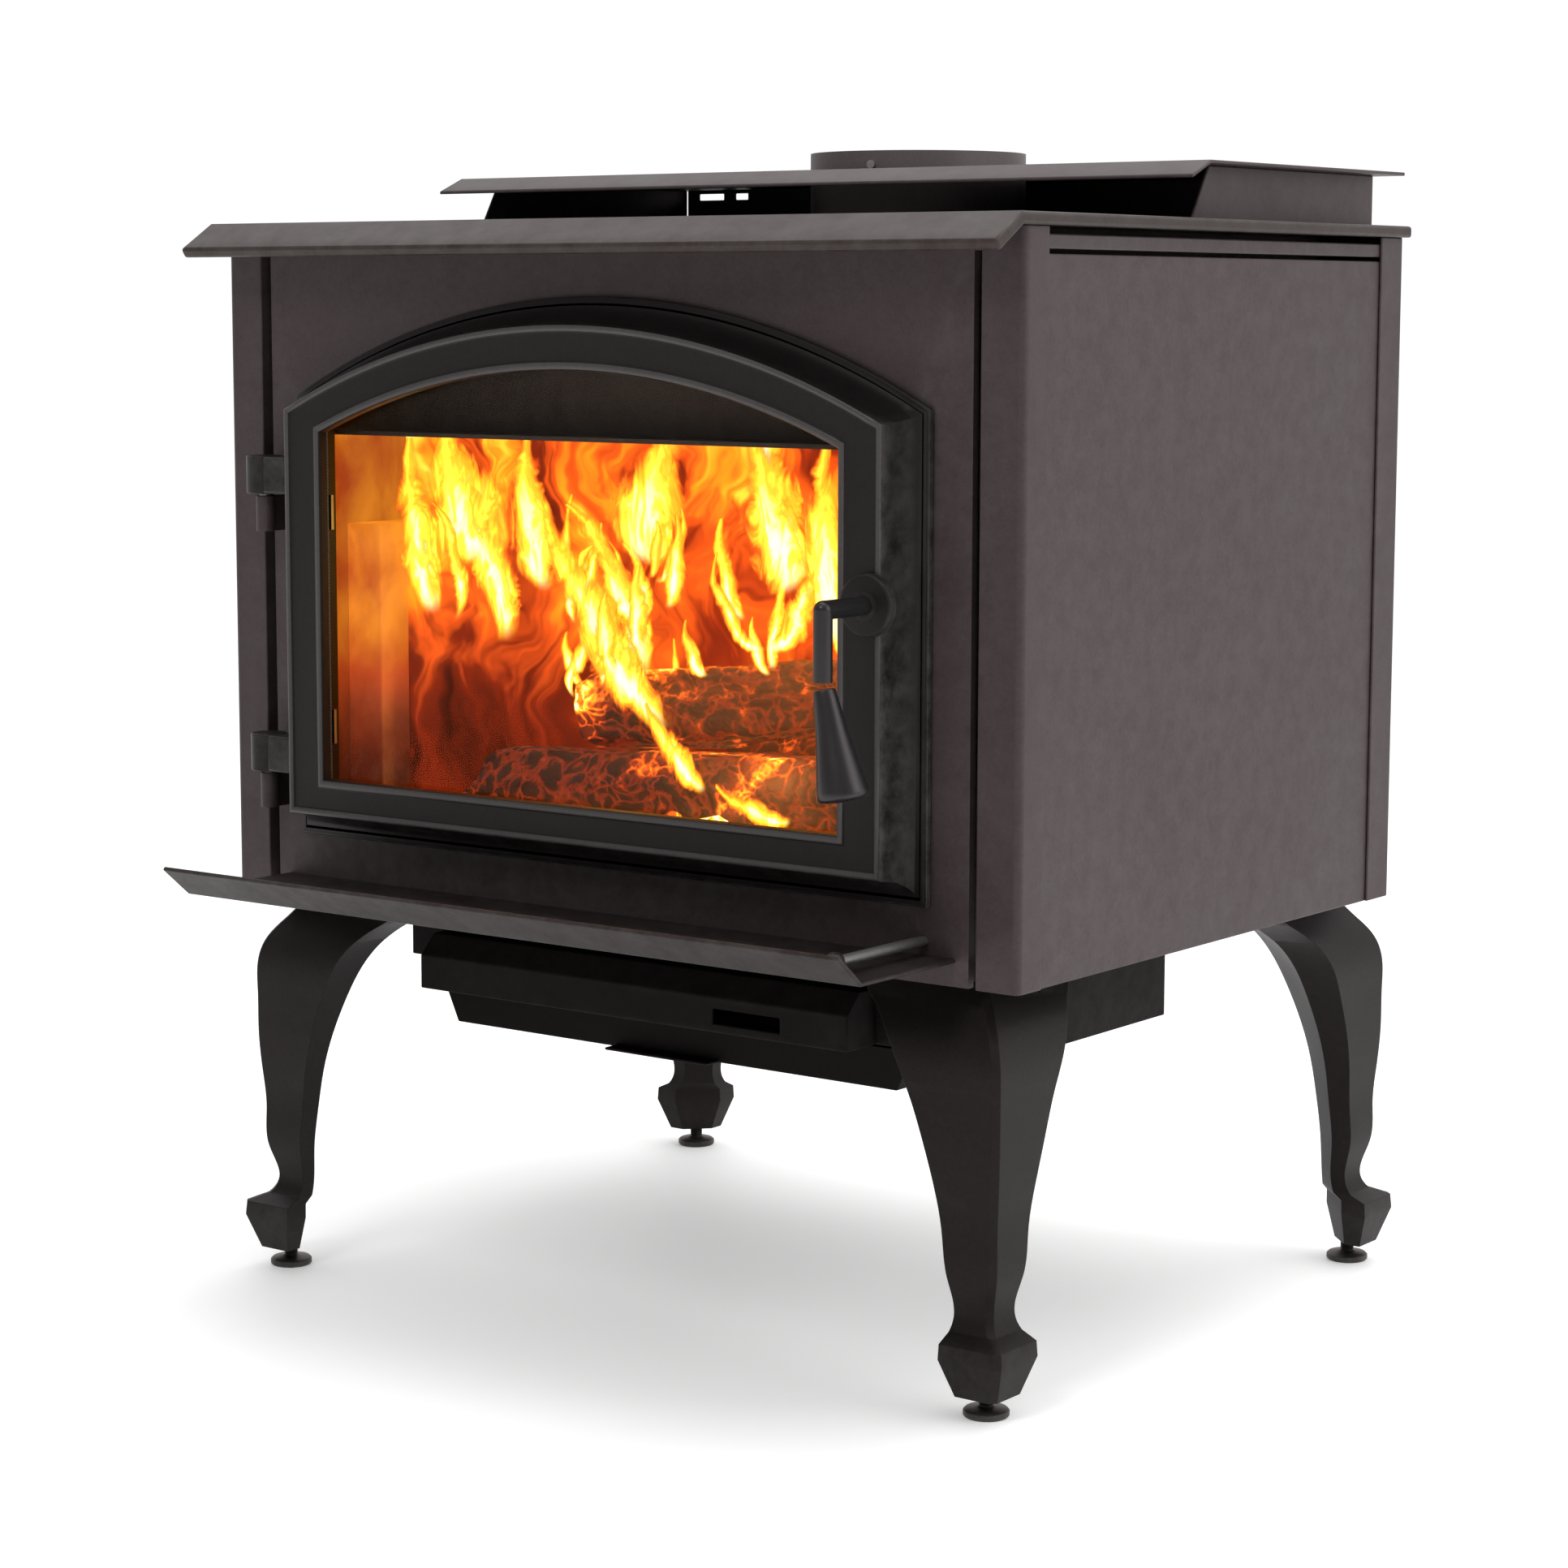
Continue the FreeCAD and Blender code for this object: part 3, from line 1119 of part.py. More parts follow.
def make_log(x, share, lift, length, radius, turn, tilt):
    """Return one split log as a seven-sided prism about its middle."""
    log = doc.addObject("Part::Prism", helper_name("log"))
    log.Polygon = LOG_SIDES
    log.Circumradius = radius
    log.Height = length
    turned = FreeCAD.Rotation(Vector(0, 0, 1), turn) * FreeCAD.Rotation(Vector(0, 1, 0), 90 - tilt)
    log.Placement = FreeCAD.Placement(Vector(), turned)
    middle = turned.multVec(Vector(0, 0, length / 2))
    depth = "(%s - brick - brick_front)" % FIREBOX_REAR
    place(log, str(x - middle.x), "brick_front + %s * %s - %s" % (depth, share, middle.y),
          "%s + %s - %s" % (HEARTH, lift, middle.z))
    return log


def make_fire():
    """Ember bed on the hearth and the charred logs that lie in it and on each other."""
    logs = [make_log(*numbers) for numbers in LOGS]
    bed = box(("-%s + ember_margin" % BRICK_FACE, "%s - ember_margin" % BRICK_FACE),
              ("brick_front + ember_margin", "%s - brick - ember_margin" % FIREBOX_REAR),
              (HEARTH, HEARTH + " + ember_depth"))
    name_part(cut(bed, logs[0], logs[1]), "ember_bed")
    name_part(group([logs[0], logs[1], cut(logs[2], logs[0], logs[1])]), "fire_logs")


def check_and_export():
    """Check every object and every sub-part, then write one STEP file for each."""
    doc.recompute()
    for item in doc.Objects:
        bad = [state for state in item.State if state in ("Invalid", "Error")]
        if bad:
            raise RuntimeError("%s (%s) is %s" % (item.Name, item.Label, bad))
    os.makedirs("parts", exist_ok=True)
    labels = [part.Label for part in parts]
    if len(set(labels)) != len(labels):
        raise RuntimeError("two sub-parts share a label")
    for part in parts:
        shape = part.Shape
        if shape.isNull() or not shape.isValid() or not shape.Solids:
            raise RuntimeError("%s has no valid solid" % part.Label)
        shape.exportStep("parts/%s.step" % part.Label)
        low = shape.BoundBox
        print("%-24s %d solid(s)  x %.1f..%.1f  y %.1f..%.1f  z %.1f..%.1f" % (
            part.Label, len(shape.Solids), low.XMin, low.XMax, low.YMin, low.YMax, low.ZMin, low.ZMax))
    print(len(parts), "sub-parts")


make_firebox()
make_front_plate()
make_top_plate()
make_flue_collar()
make_posts()
make_side_panels()
make_casing_ties()
make_rear_shield()
make_deflector()
make_ash_shelf()
make_convection_pan()
make_drawer_runners()
make_air_box()
make_ash_drawer()
make_air_control()
make_legs()
make_door()
make_glass_clips()
make_hinges()
make_handle()
make_lining()
make_fire()
check_and_export()
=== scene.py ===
"""Looks of a free-standing wood burning stove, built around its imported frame.

Every length is in metres in the frame's own axes: +Z is up and the door faces -Y.
"""

import json
import logging
import math
import random
from dataclasses import astuple, dataclass
from enum import Enum
from typing import Callable, Iterable, Sequence

import bmesh
import bpy
from bmesh.types import BMEdge, BMesh, BMLayerItem, BMVert
from bpy.types import ID, Material, Node, NodeOutputs, NodeSocket, NodeTree, Object
from mathutils import Euler, Matrix, Vector, noise


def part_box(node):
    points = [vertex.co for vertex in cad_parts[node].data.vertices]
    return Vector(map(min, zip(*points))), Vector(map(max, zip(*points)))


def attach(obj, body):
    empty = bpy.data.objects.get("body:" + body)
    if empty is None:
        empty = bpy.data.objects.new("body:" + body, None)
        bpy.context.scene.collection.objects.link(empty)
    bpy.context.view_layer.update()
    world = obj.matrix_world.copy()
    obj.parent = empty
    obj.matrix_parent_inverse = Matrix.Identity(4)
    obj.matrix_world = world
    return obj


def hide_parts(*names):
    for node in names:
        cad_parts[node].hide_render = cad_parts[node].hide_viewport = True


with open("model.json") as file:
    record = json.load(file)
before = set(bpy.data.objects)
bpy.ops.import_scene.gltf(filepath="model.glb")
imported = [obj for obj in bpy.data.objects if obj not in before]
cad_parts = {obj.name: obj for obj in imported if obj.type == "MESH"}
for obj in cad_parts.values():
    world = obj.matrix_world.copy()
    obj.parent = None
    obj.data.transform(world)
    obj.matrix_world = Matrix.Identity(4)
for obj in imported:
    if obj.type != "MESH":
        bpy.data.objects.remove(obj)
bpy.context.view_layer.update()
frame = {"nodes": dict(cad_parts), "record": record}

log = logging.getLogger("stove")
MM = 0.001
Point = tuple[float, float]
Colour = tuple[float, float, float]


# --------------------------------------------------------------------------- shader tools


class Socket(Enum):
    """Kinds of value that pass in and out of a shader node group."""

    FLOAT = "NodeSocketFloat"
    VECTOR = "NodeSocketVector"


class Graph:
    """Short helper around one node tree.

    Args:
        tree: The material's or the group's node tree.
    """

    def __init__(self, tree: NodeTree) -> None:
        self.tree = tree

    def add(self, kind: str, inputs: dict | None = None, **settings) -> Node:
        """Add a node, with a value or an output socket for each named input.

        Args:
            kind: The node's type name, such as "ShaderNodeTexNoise".
            inputs: What each named input takes.
            **settings: Properties set on the node itself.

        Returns:
            The new node.
        """
        node = self.tree.nodes.new(kind)
        for name, setting in settings.items():
            setattr(node, name, setting)
        self.wire(node, inputs or {})
        return node

    def feed(self, socket: NodeSocket, given) -> None:
        """Link an output to a socket, or set the socket's own value.

        Args:
            socket: The input to feed.
            given: An output socket or a value.
        """
        if isinstance(given, NodeSocket):
            self.tree.links.new(given, socket)
        elif isinstance(given, tuple) and len(given) == 3 and socket.type == "RGBA":
            socket.default_value = (*given, 1.0)
        else:
            socket.default_value = given

    def wire(self, node: Node, inputs: dict) -> None:
        """Feed several inputs of a node, each by its name."""
        for name, given in inputs.items():
            self.feed(node.inputs[name], given)

    def math(self, operation: str, *values, clamp: bool = False) -> NodeSocket:
        """Return the result of a Math node.

        Args:
            operation: The node's operation.
            *values: What its inputs take.
            clamp: Whether to hold the result between 0 and 1.

        Returns:
            The node's output.
        """
        node = self.add("ShaderNodeMath", operation=operation, use_clamp=clamp)
        for socket, given in zip(node.inputs, values):
            self.feed(socket, given)
        return node.outputs[0]

    def times(self, first, second, clamp: bool = False) -> NodeSocket:
        """Return a product."""
        return self.math("MULTIPLY", first, second, clamp=clamp)

    def plus(self, first, second, clamp: bool = False) -> NodeSocket:
        """Return a sum."""
        return self.math("ADD", first, second, clamp=clamp)

    def ramp(self, factor, stops: Sequence[tuple[float, Colour]]) -> NodeSocket:
        """Return the colour of a ramp with the given stops.

        Args:
            factor: Place on the ramp.
            stops: Place and colour of each stop.

        Returns:
            The ramp's colour.
        """
        node = self.add("ShaderNodeValToRGB", {"Fac": factor})
        points = node.color_ramp.elements
        while len(points) < len(stops):
            points.new(1.0)
        for point, (place, colour) in zip(points, stops):
            point.position = place
            point.color = (*colour, 1.0)
        return node.outputs["Color"]

    def level(self, given, low: float, high: float, to_low: float = 0.0, to_high: float = 1.0,
              smooth: bool = False) -> NodeSocket:
        """Return a value mapped from one range to another, held at the ends.

        Args:
            given: The value.
            low: Value that becomes to_low.
            high: Value that becomes to_high.
            to_low: Result at low.
            to_high: Result at high.
            smooth: Whether the step is smoothed.

        Returns:
            The mapped value.
        """
        node = self.add("ShaderNodeMapRange", {"Value": given, "From Min": low, "From Max": high,
                                               "To Min": to_low, "To Max": to_high}, clamp=True)
        if smooth:
            node.interpolation_type = "SMOOTHSTEP"
        return node.outputs["Result"]

    def mix(self, factor, first, second, blend: str = "MIX") -> NodeSocket:
        """Return a mix of two colours.

        Args:
            factor: Share of the second.
            first: One colour.
            second: The other.
            blend: Way of mixing.

        Returns:
            The mixed colour.
        """
        node = self.add("ShaderNodeMix", data_type="RGBA", blend_type=blend)
        for socket, given in zip((node.inputs["Factor"], *node.inputs[6:8]), (factor, first, second)):
            self.feed(socket, given)
        return node.outputs[2]

    def noise(self, vector, scale: float, detail: float = 4.0, rough: float = 0.55,
              distortion: float = 0.0) -> NodeSocket:
        """Return a noise value."""
        return self.add("ShaderNodeTexNoise", {"Vector": vector, "Scale": scale, "Detail": detail,
                                               "Roughness": rough, "Distortion": distortion}).outputs["Fac"]

    def place(self) -> NodeSocket:
        """Return the object coordinates."""
        return self.add("ShaderNodeTexCoord").outputs["Object"]

    def sheet(self) -> NodeSocket:
        """Return the coordinates of the piece's own UV map."""
        return self.add("ShaderNodeUVMap", uv_map="Sheet").outputs["UV"]

    def parts(self, vector) -> NodeOutputs:
        """Return the X, Y and Z of a vector."""
        return self.add("ShaderNodeSeparateXYZ", {"Vector": vector}).outputs

    def stretch(self, vector, scale: Sequence[float], shift: Sequence[float] = (0, 0, 0)
                ) -> NodeSocket:
        """Return a vector moved and scaled along each axis."""
        return self.add("ShaderNodeMapping", {"Vector": vector, "Scale": scale,
                                              "Location": shift}).outputs["Vector"]

    def bump(self, height, strength: float, distance: float) -> NodeSocket:
        """Return a normal that follows a height."""
        return self.add("ShaderNodeBump", {"Height": height, "Strength": strength,
                                           "Distance": distance}).outputs["Normal"]


def node_group(name: str, inputs: dict[str, tuple[Socket, object]], outputs: dict[str, Socket],
               make: Callable[[Graph, Node], dict[str, object]]) -> NodeTree:
    """Build a shader node group once.

    Args:
        name: The group's name.
        inputs: Each input's kind and its usual value.
        outputs: Each output's kind.
        make: Function that adds the nodes and returns a socket for each output.

    Returns:
        The group's node tree.
    """
    known = bpy.data.node_groups.get(name)
    if known:
        return known
    tree = bpy.data.node_groups.new(name, "ShaderNodeTree")
    for label, (kind, usual) in inputs.items():
        socket = tree.interface.new_socket(label, in_out="INPUT", socket_type=kind.value)
        if usual is not None:
            socket.default_value = usual
    for label, kind in outputs.items():
        tree.interface.new_socket(label, in_out="OUTPUT", socket_type=kind.value)
    graph = Graph(tree)
    source = graph.add("NodeGroupInput")
    sink = graph.add("NodeGroupOutput")
    graph.wire(sink, make(graph, source))
    return tree


def grain_group() -> NodeTree:
    """Fine speckle and slow cloudiness of a baked-on finish."""

    def make(graph: Graph, source: Node) -> dict[str, object]:
        """Add the group's nodes."""
        place = source.outputs["Place"]
        speckle = graph.noise(place, 1100.0, 2.0, 0.7)
        mottle = graph.noise(place, 300.0, 3.0, 0.6)
        cloud = graph.noise(place, 7.0, 3.0, 0.5)
        return {"Fine": graph.plus(graph.times(speckle, 0.6), graph.times(mottle, 0.4)), "Cloud": cloud}

    return node_group("Grain", {"Place": (Socket.VECTOR, None)},
                      {"Fine": Socket.FLOAT, "Cloud": Socket.FLOAT}, make)


def wear_group() -> NodeTree:
    """Mask of rubbed edges, broken up by noise."""

    def make(graph: Graph, source: Node) -> dict[str, object]:
        """Add the group's nodes."""
        edge = graph.level(graph.add("ShaderNodeNewGeometry").outputs["Pointiness"], 0.52, 0.62)
        broken = graph.level(graph.noise(source.outputs["Place"], 60.0, 5.0, 0.7), 0.35, 0.65)
        return {"Mask": graph.times(graph.times(edge, broken), source.outputs["Amount"], clamp=True)}

    return node_group("EdgeWear", {"Place": (Socket.VECTOR, None), "Amount": (Socket.FLOAT, 0.5)},
                      {"Mask": Socket.FLOAT}, make)


def dust_group() -> NodeTree:
    """Mask of fine ash dust that settles on faces that look up."""

    def make(graph: Graph, source: Node) -> dict[str, object]:
        """Add the group's nodes."""
        normal = graph.add("ShaderNodeNewGeometry").outputs["Normal"]
        flat = graph.level(graph.parts(normal)["Z"], 0.6, 1.0)
        patch = graph.level(graph.noise(source.outputs["Place"], 26.0, 6.0, 0.65), 0.4, 0.8)
        return {"Mask": graph.times(graph.times(flat, patch), source.outputs["Amount"], clamp=True)}

    return node_group("AshDust", {"Place": (Socket.VECTOR, None), "Amount": (Socket.FLOAT, 0.3)},
                      {"Mask": Socket.FLOAT}, make)


# ------------------------------------------------------------------------------ finishes


class Slot(Enum):
    """Material slots of the record that a piece can take."""

    PAINT = "stove_paint"
    CAST = "cast_iron_black"
    ZINC = "zinc_steel"
    GLASS = "ceramic_glass"
    BRICK = "firebrick"
    LOG = "charred_wood"
    EMBER = "embers"


ASH = (0.30, 0.29, 0.28)
WARM_SHEEN = (1.0, 0.86, 0.87)
GLOW_STOPS = (
    (0.00, (0.0, 0.0, 0.0)),
    (0.06, (0.03, 0.002, 0.0)),
    (0.45, (0.45, 0.05, 0.003)),
    (1.00, (1.0, 0.34, 0.015)),
)
FIRE_STOPS = (
    (0.00, (0.010, 0.001, 0.0)),
    (0.22, (0.16, 0.012, 0.001)),
    (0.45, (0.85, 0.11, 0.006)),
    (0.66, (1.0, 0.36, 0.010)),
    (0.84, (1.0, 0.78, 0.05)),
    (1.00, (1.0, 0.97, 0.55)),
)


@dataclass(frozen=True)
class Finish:
    """A finish that can be made into a material."""

    name: str

    def build(self) -> Material:
        """Return the finish as a material."""
        material = bpy.data.materials.new(self.name)
        material.use_nodes = True
        self.shade(Graph(material.node_tree), material.node_tree.nodes["Principled BSDF"])
        return material

    def shade(self, graph: Graph, shader: Node) -> None:
        """Feed the Principled BSDF; each kind of finish has its own way."""
        raise NotImplementedError


@dataclass(frozen=True)
class Coated(Finish):
    """Painted, cast or plated metal with grain, worn edges and a little ash dust."""

    colour: Colour
    lighter: Colour
    roughness: float
    metallic: float = 0.0
    specular: float = 0.5
    grain: float = 0.6
    cloud: float = 0.2
    bump: float = 0.15
    bump_depth: float = 0.4 * MM
    wear: float = 0.2
    dust: float = 0.02
    worn: Colour = (0.16, 0.15, 0.145)

    def shade(self, graph: Graph, shader: Node) -> None:
        """Feed the Principled BSDF."""
        place = graph.place()
        grain = graph.add("ShaderNodeGroup", node_tree=grain_group())
        wear = graph.add("ShaderNodeGroup", node_tree=wear_group())
        dust = graph.add("ShaderNodeGroup", node_tree=dust_group())
        graph.wire(grain, {"Place": place})
        graph.wire(wear, {"Place": place, "Amount": self.wear})
        graph.wire(dust, {"Place": place, "Amount": self.dust})
        fine = graph.level(grain.outputs["Fine"], 0.35, 0.65)
        cloud = graph.level(grain.outputs["Cloud"], 0.3, 0.7)
        tone = graph.plus(graph.times(fine, self.grain), graph.times(cloud, self.cloud), clamp=True)
        colour = graph.mix(tone, self.colour, self.lighter)
        colour = graph.mix(wear.outputs["Mask"], colour, self.worn)
        colour = graph.mix(dust.outputs["Mask"], colour, ASH)
        rough = graph.level(grain.outputs["Cloud"], 0.2, 0.8, self.roughness - 0.07, self.roughness + 0.07)
        rough = graph.math("SUBTRACT", rough, graph.times(wear.outputs["Mask"], 0.15), clamp=True)
        graph.wire(shader, {
            "Base Color": colour,
            "Roughness": rough,
            "Metallic": self.metallic,
            "Specular IOR Level": self.specular,
            "Specular Tint": WARM_SHEEN,
            "Normal": graph.bump(grain.outputs["Fine"], self.bump, self.bump_depth),
        })


@dataclass(frozen=True)
class CeramicGlass(Finish):
    """Clear ceramic glass with a faint warm tint and a slight haze."""

    name: str = "CeramicGlass"

    def shade(self, graph: Graph, shader: Node) -> None:
        """Feed the Principled BSDF."""
        place = graph.place()
        graph.wire(shader, {
            "Roughness": graph.level(graph.noise(place, 18.0, 5.0, 0.6), 0.35, 0.8, 0.02, 0.10),
            "Base Color": graph.mix(graph.noise(place, 9.0, 3.0), (0.97, 0.93, 0.88), (0.92, 0.85, 0.76)),
            "Transmission Weight": 1.0,
            "IOR": 1.1,
            "Specular IOR Level": 0.12,
        })


@dataclass(frozen=True)
class Brick(Finish):
    """Firebrick: gritty, sooted, and lit by the glow of the fire near it."""

    glow: float = 0.0
    colour: Colour = (0.30, 0.20, 0.13)
    soot: Colour = (0.035, 0.028, 0.024)
    wall_face: float = 282.2 * MM

    def shade(self, graph: Graph, shader: Node) -> None:
        """Feed the Principled BSDF."""
        place = graph.place()
        patch = graph.level(graph.noise(place, 11.0, 5.0, 0.6, 0.4), 0.38, 0.62)
        grit = graph.noise(place, 420.0, 3.0, 0.7)
        base = graph.mix(grit, self.colour, tuple(0.7 * part for part in self.colour))
        graph.wire(shader, {
            "Base Color": graph.mix(patch, base, self.soot),
            "Roughness": graph.level(grit, 0.3, 0.7, 0.8, 0.98),
            "Normal": graph.bump(grit, 0.5, 1.5 * MM),
        })
        # Painted firelight: the emission stands in for the fire's light falling on these faces.
        if self.glow > 0:
            graph.wire(shader, {"Emission Color": graph.ramp(self.heat(graph, place), GLOW_STOPS),
                                "Emission Strength": self.glow})

    def heat(self, graph: Graph, place: NodeSocket) -> NodeSocket:
        """Return the fire's light: it grows with height and stays on the inner faces.

        Args:
            graph: The material's graph.
            place: The object coordinates.

        Returns:
            Its level, from 0 to 1.
        """
        licks = graph.level(graph.noise(graph.stretch(place, (9.0, 9.0, 5.0)), 1.6, 4.0, 0.6, 0.6), 0.3, 0.7)
        spot = graph.parts(place)
        rise = graph.level(spot["Z"], 0.36, 0.50, 0.12, 0.85, smooth=True)
        heat = graph.times(rise, graph.plus(graph.times(licks, 0.8), 0.4), clamp=True)
        indoors = graph.level(graph.math("ABSOLUTE", spot["X"]), self.wall_face, self.wall_face + 0.5 * MM,
                              1.0, 0.0)
        return graph.times(heat, indoors)


@dataclass(frozen=True)
class Blaze(Finish):
    """Curtain of fire behind the logs: tall streaks of fire, with dark red painted shade between them for the
    dim firebox back.

    The pattern reads the piece's own UV map, u across and v up, both in metres.
    """

    name: str = "Blaze"
    strength: float = 1.25

    def shade(self, graph: Graph, shader: Node) -> None:
        """Feed the Principled BSDF."""
        flat = graph.sheet()
        warp = graph.add("ShaderNodeTexNoise", {"Vector": flat, "Scale": 9.0, "Detail": 3.0})
        swirl = graph.add("ShaderNodeVectorMath", {0: warp.outputs["Color"], 1: (0.5, 0.5, 0.5)},
                          operation="SUBTRACT")
        bend = graph.add("ShaderNodeVectorMath", {0: swirl.outputs[0], "Scale": 0.16}, operation="SCALE")
        moved = graph.add("ShaderNodeVectorMath", {0: flat, 1: bend.outputs[0]}, operation="ADD").outputs[0]
        broad = graph.noise(graph.stretch(moved, (9.0, 4.2, 1.0)), 1.0, 3.0, 0.5, 0.5)
        streak = graph.noise(graph.stretch(moved, (26.0, 8.0, 1.0), (3.1, 0.4, 0.0)), 1.0, 4.0, 0.6, 1.2)
        rise = graph.level(graph.parts(flat)["Y"], 0.02, 0.27, 0.14, 0.95, smooth=True)
        heat = graph.plus(graph.times(graph.level(broad, 0.37, 0.66), 0.62),
                          graph.times(graph.level(streak, 0.36, 0.68), 0.48))
        heat = graph.times(heat, graph.plus(rise, 0.25), clamp=True)
        # Where the heat is low the sheet stays dark red: painted shade for the dim back of the firebox.
        graph.wire(shader, {
            "Base Color": graph.mix(heat, (0.02, 0.006, 0.003), (0.2, 0.03, 0.01)),
            "Emission Color": graph.ramp(heat, FIRE_STOPS),
            "Emission Strength": self.strength,
            "Roughness": graph.level(broad, 0.2, 0.8, 0.85, 1.0),
            "Specular IOR Level": 0.0,
        })


@dataclass(frozen=True)
class Tongue(Finish):
    """Flame tongue: white-hot along its middle, fading out at its rim.

    Its UV map runs from -1 to 1 across the tongue and from 0 to 1 along it.
    """

    name: str = "FlameTongue"
    strength: float = 2.0
    unrest: float = 1.9

    def shade(self, graph: Graph, shader: Node) -> None:
        """Feed the Principled BSDF."""
        parts = graph.parts(graph.sheet())
        flicker = graph.noise(graph.stretch(graph.place(), (52.0, 52.0, 24.0)), 1.0, 5.0, 0.62, 1.4)
        shift = graph.times(graph.math("SUBTRACT", flicker, 0.5), self.unrest)
        core = graph.level(graph.plus(graph.math("ABSOLUTE", parts["X"]), shift), 0.0, 0.95, 1.0, 0.0)
        along = graph.level(parts["Y"], 0.35, 1.0, 1.0, 0.55)
        heat = graph.math("POWER", graph.times(core, along, clamp=True), 0.55)
        rim_fade = graph.level(heat, 0.30, 0.72, smooth=True)
        root_fade = graph.level(parts["Y"], 0.0, 0.18, 0.0, 1.0, smooth=True)
        graph.wire(shader, {
            "Base Color": graph.mix(heat, (0.05, 0.01, 0.0), (0.4, 0.2, 0.05)),
            "Emission Color": graph.ramp(heat, FIRE_STOPS),
            "Emission Strength": self.strength,
            "Alpha": graph.times(rim_fade, root_fade, clamp=True),
            "Roughness": 1.0,
            "Specular IOR Level": 0.0,
        })


@dataclass(frozen=True)
class Charcoal(Finish):
    """Charred wood or coal with fire in its cracks.

    Args:
        name: The material's name.
        cell: Size of the cracks' pattern, per metre.
        glow: How much of the surface glows, from 0 to 1.
        strength: Brightness of the glow.
    """

    cell: float
    glow: float
    strength: float

    def shade(self, graph: Graph, shader: Node) -> None:
        """Feed the Principled BSDF."""
        place = graph.place()
        warp = graph.add("ShaderNodeTexNoise", {"Vector": place, "Scale": 24.0, "Detail": 4.0})
        bent = graph.mix(0.06, place, warp.outputs["Color"], "LINEAR_LIGHT")
        cracks = graph.add("ShaderNodeTexVoronoi", {"Vector": bent, "Scale": self.cell},
                           feature="DISTANCE_TO_EDGE").outputs["Distance"]
        crack = graph.level(cracks, 0.0, 0.16, 1.0, 0.0)
        patch = graph.level(graph.noise(place, 13.0, 4.0, 0.6, 0.5), 0.62 - 0.3 * self.glow,
                            0.86 - 0.3 * self.glow)
        fine = graph.noise(place, 110.0, 4.0, 0.7)
        heat = graph.plus(graph.times(patch, 0.78), graph.times(crack, graph.times(patch, 0.45)))
        heat = graph.plus(heat, graph.times(crack, 0.24))
        heat = graph.times(heat, graph.level(fine, 0.25, 0.65, 0.45, 1.15), clamp=True)
        graph.wire(shader, {
            "Base Color": graph.mix(fine, (0.012, 0.010, 0.009), (0.075, 0.055, 0.045)),
            "Emission Color": graph.ramp(heat, FIRE_STOPS),
            "Emission Strength": self.strength,
            "Roughness": graph.level(fine, 0.2, 0.8, 0.75, 0.98),
            "Normal": graph.bump(cracks, 0.8, 4 * MM),
        })


@dataclass(frozen=True)
class Rope(Finish):
    """Braided glass-fibre rope."""

    name: str = "SealRope"

    def shade(self, graph: Graph, shader: Node) -> None:
        """Feed the Principled BSDF."""
        braid = graph.add("ShaderNodeTexWave", {"Vector": graph.place(), "Scale": 260.0, "Distortion": 1.5},
                          bands_direction="DIAGONAL").outputs["Fac"]
        graph.wire(shader, {
            "Base Color": graph.mix(braid, (0.05, 0.048, 0.045), (0.16, 0.15, 0.14)),
            "Roughness": graph.level(braid, 0.0, 1.0, 0.85, 1.0),
            "Normal": graph.bump(braid, 0.7, 1 * MM),
        })


@dataclass(frozen=True)
class PaleFloor(Finish):
    """Pale studio floor."""

    name: str = "StudioPale"
    lift: float = 0.0

    def shade(self, graph: Graph, shader: Node) -> None:
        """Feed the Principled BSDF."""
        tone = graph.noise(graph.place(), 2.0, 2.0)
        graph.wire(shader, {
            "Base Color": graph.mix(tone, (0.93, 0.93, 0.93), (0.95, 0.95, 0.945)),
            "Roughness": 0.6,
            "Emission Color": (1.0, 1.0, 1.0),
            "Emission Strength": self.lift,
        })


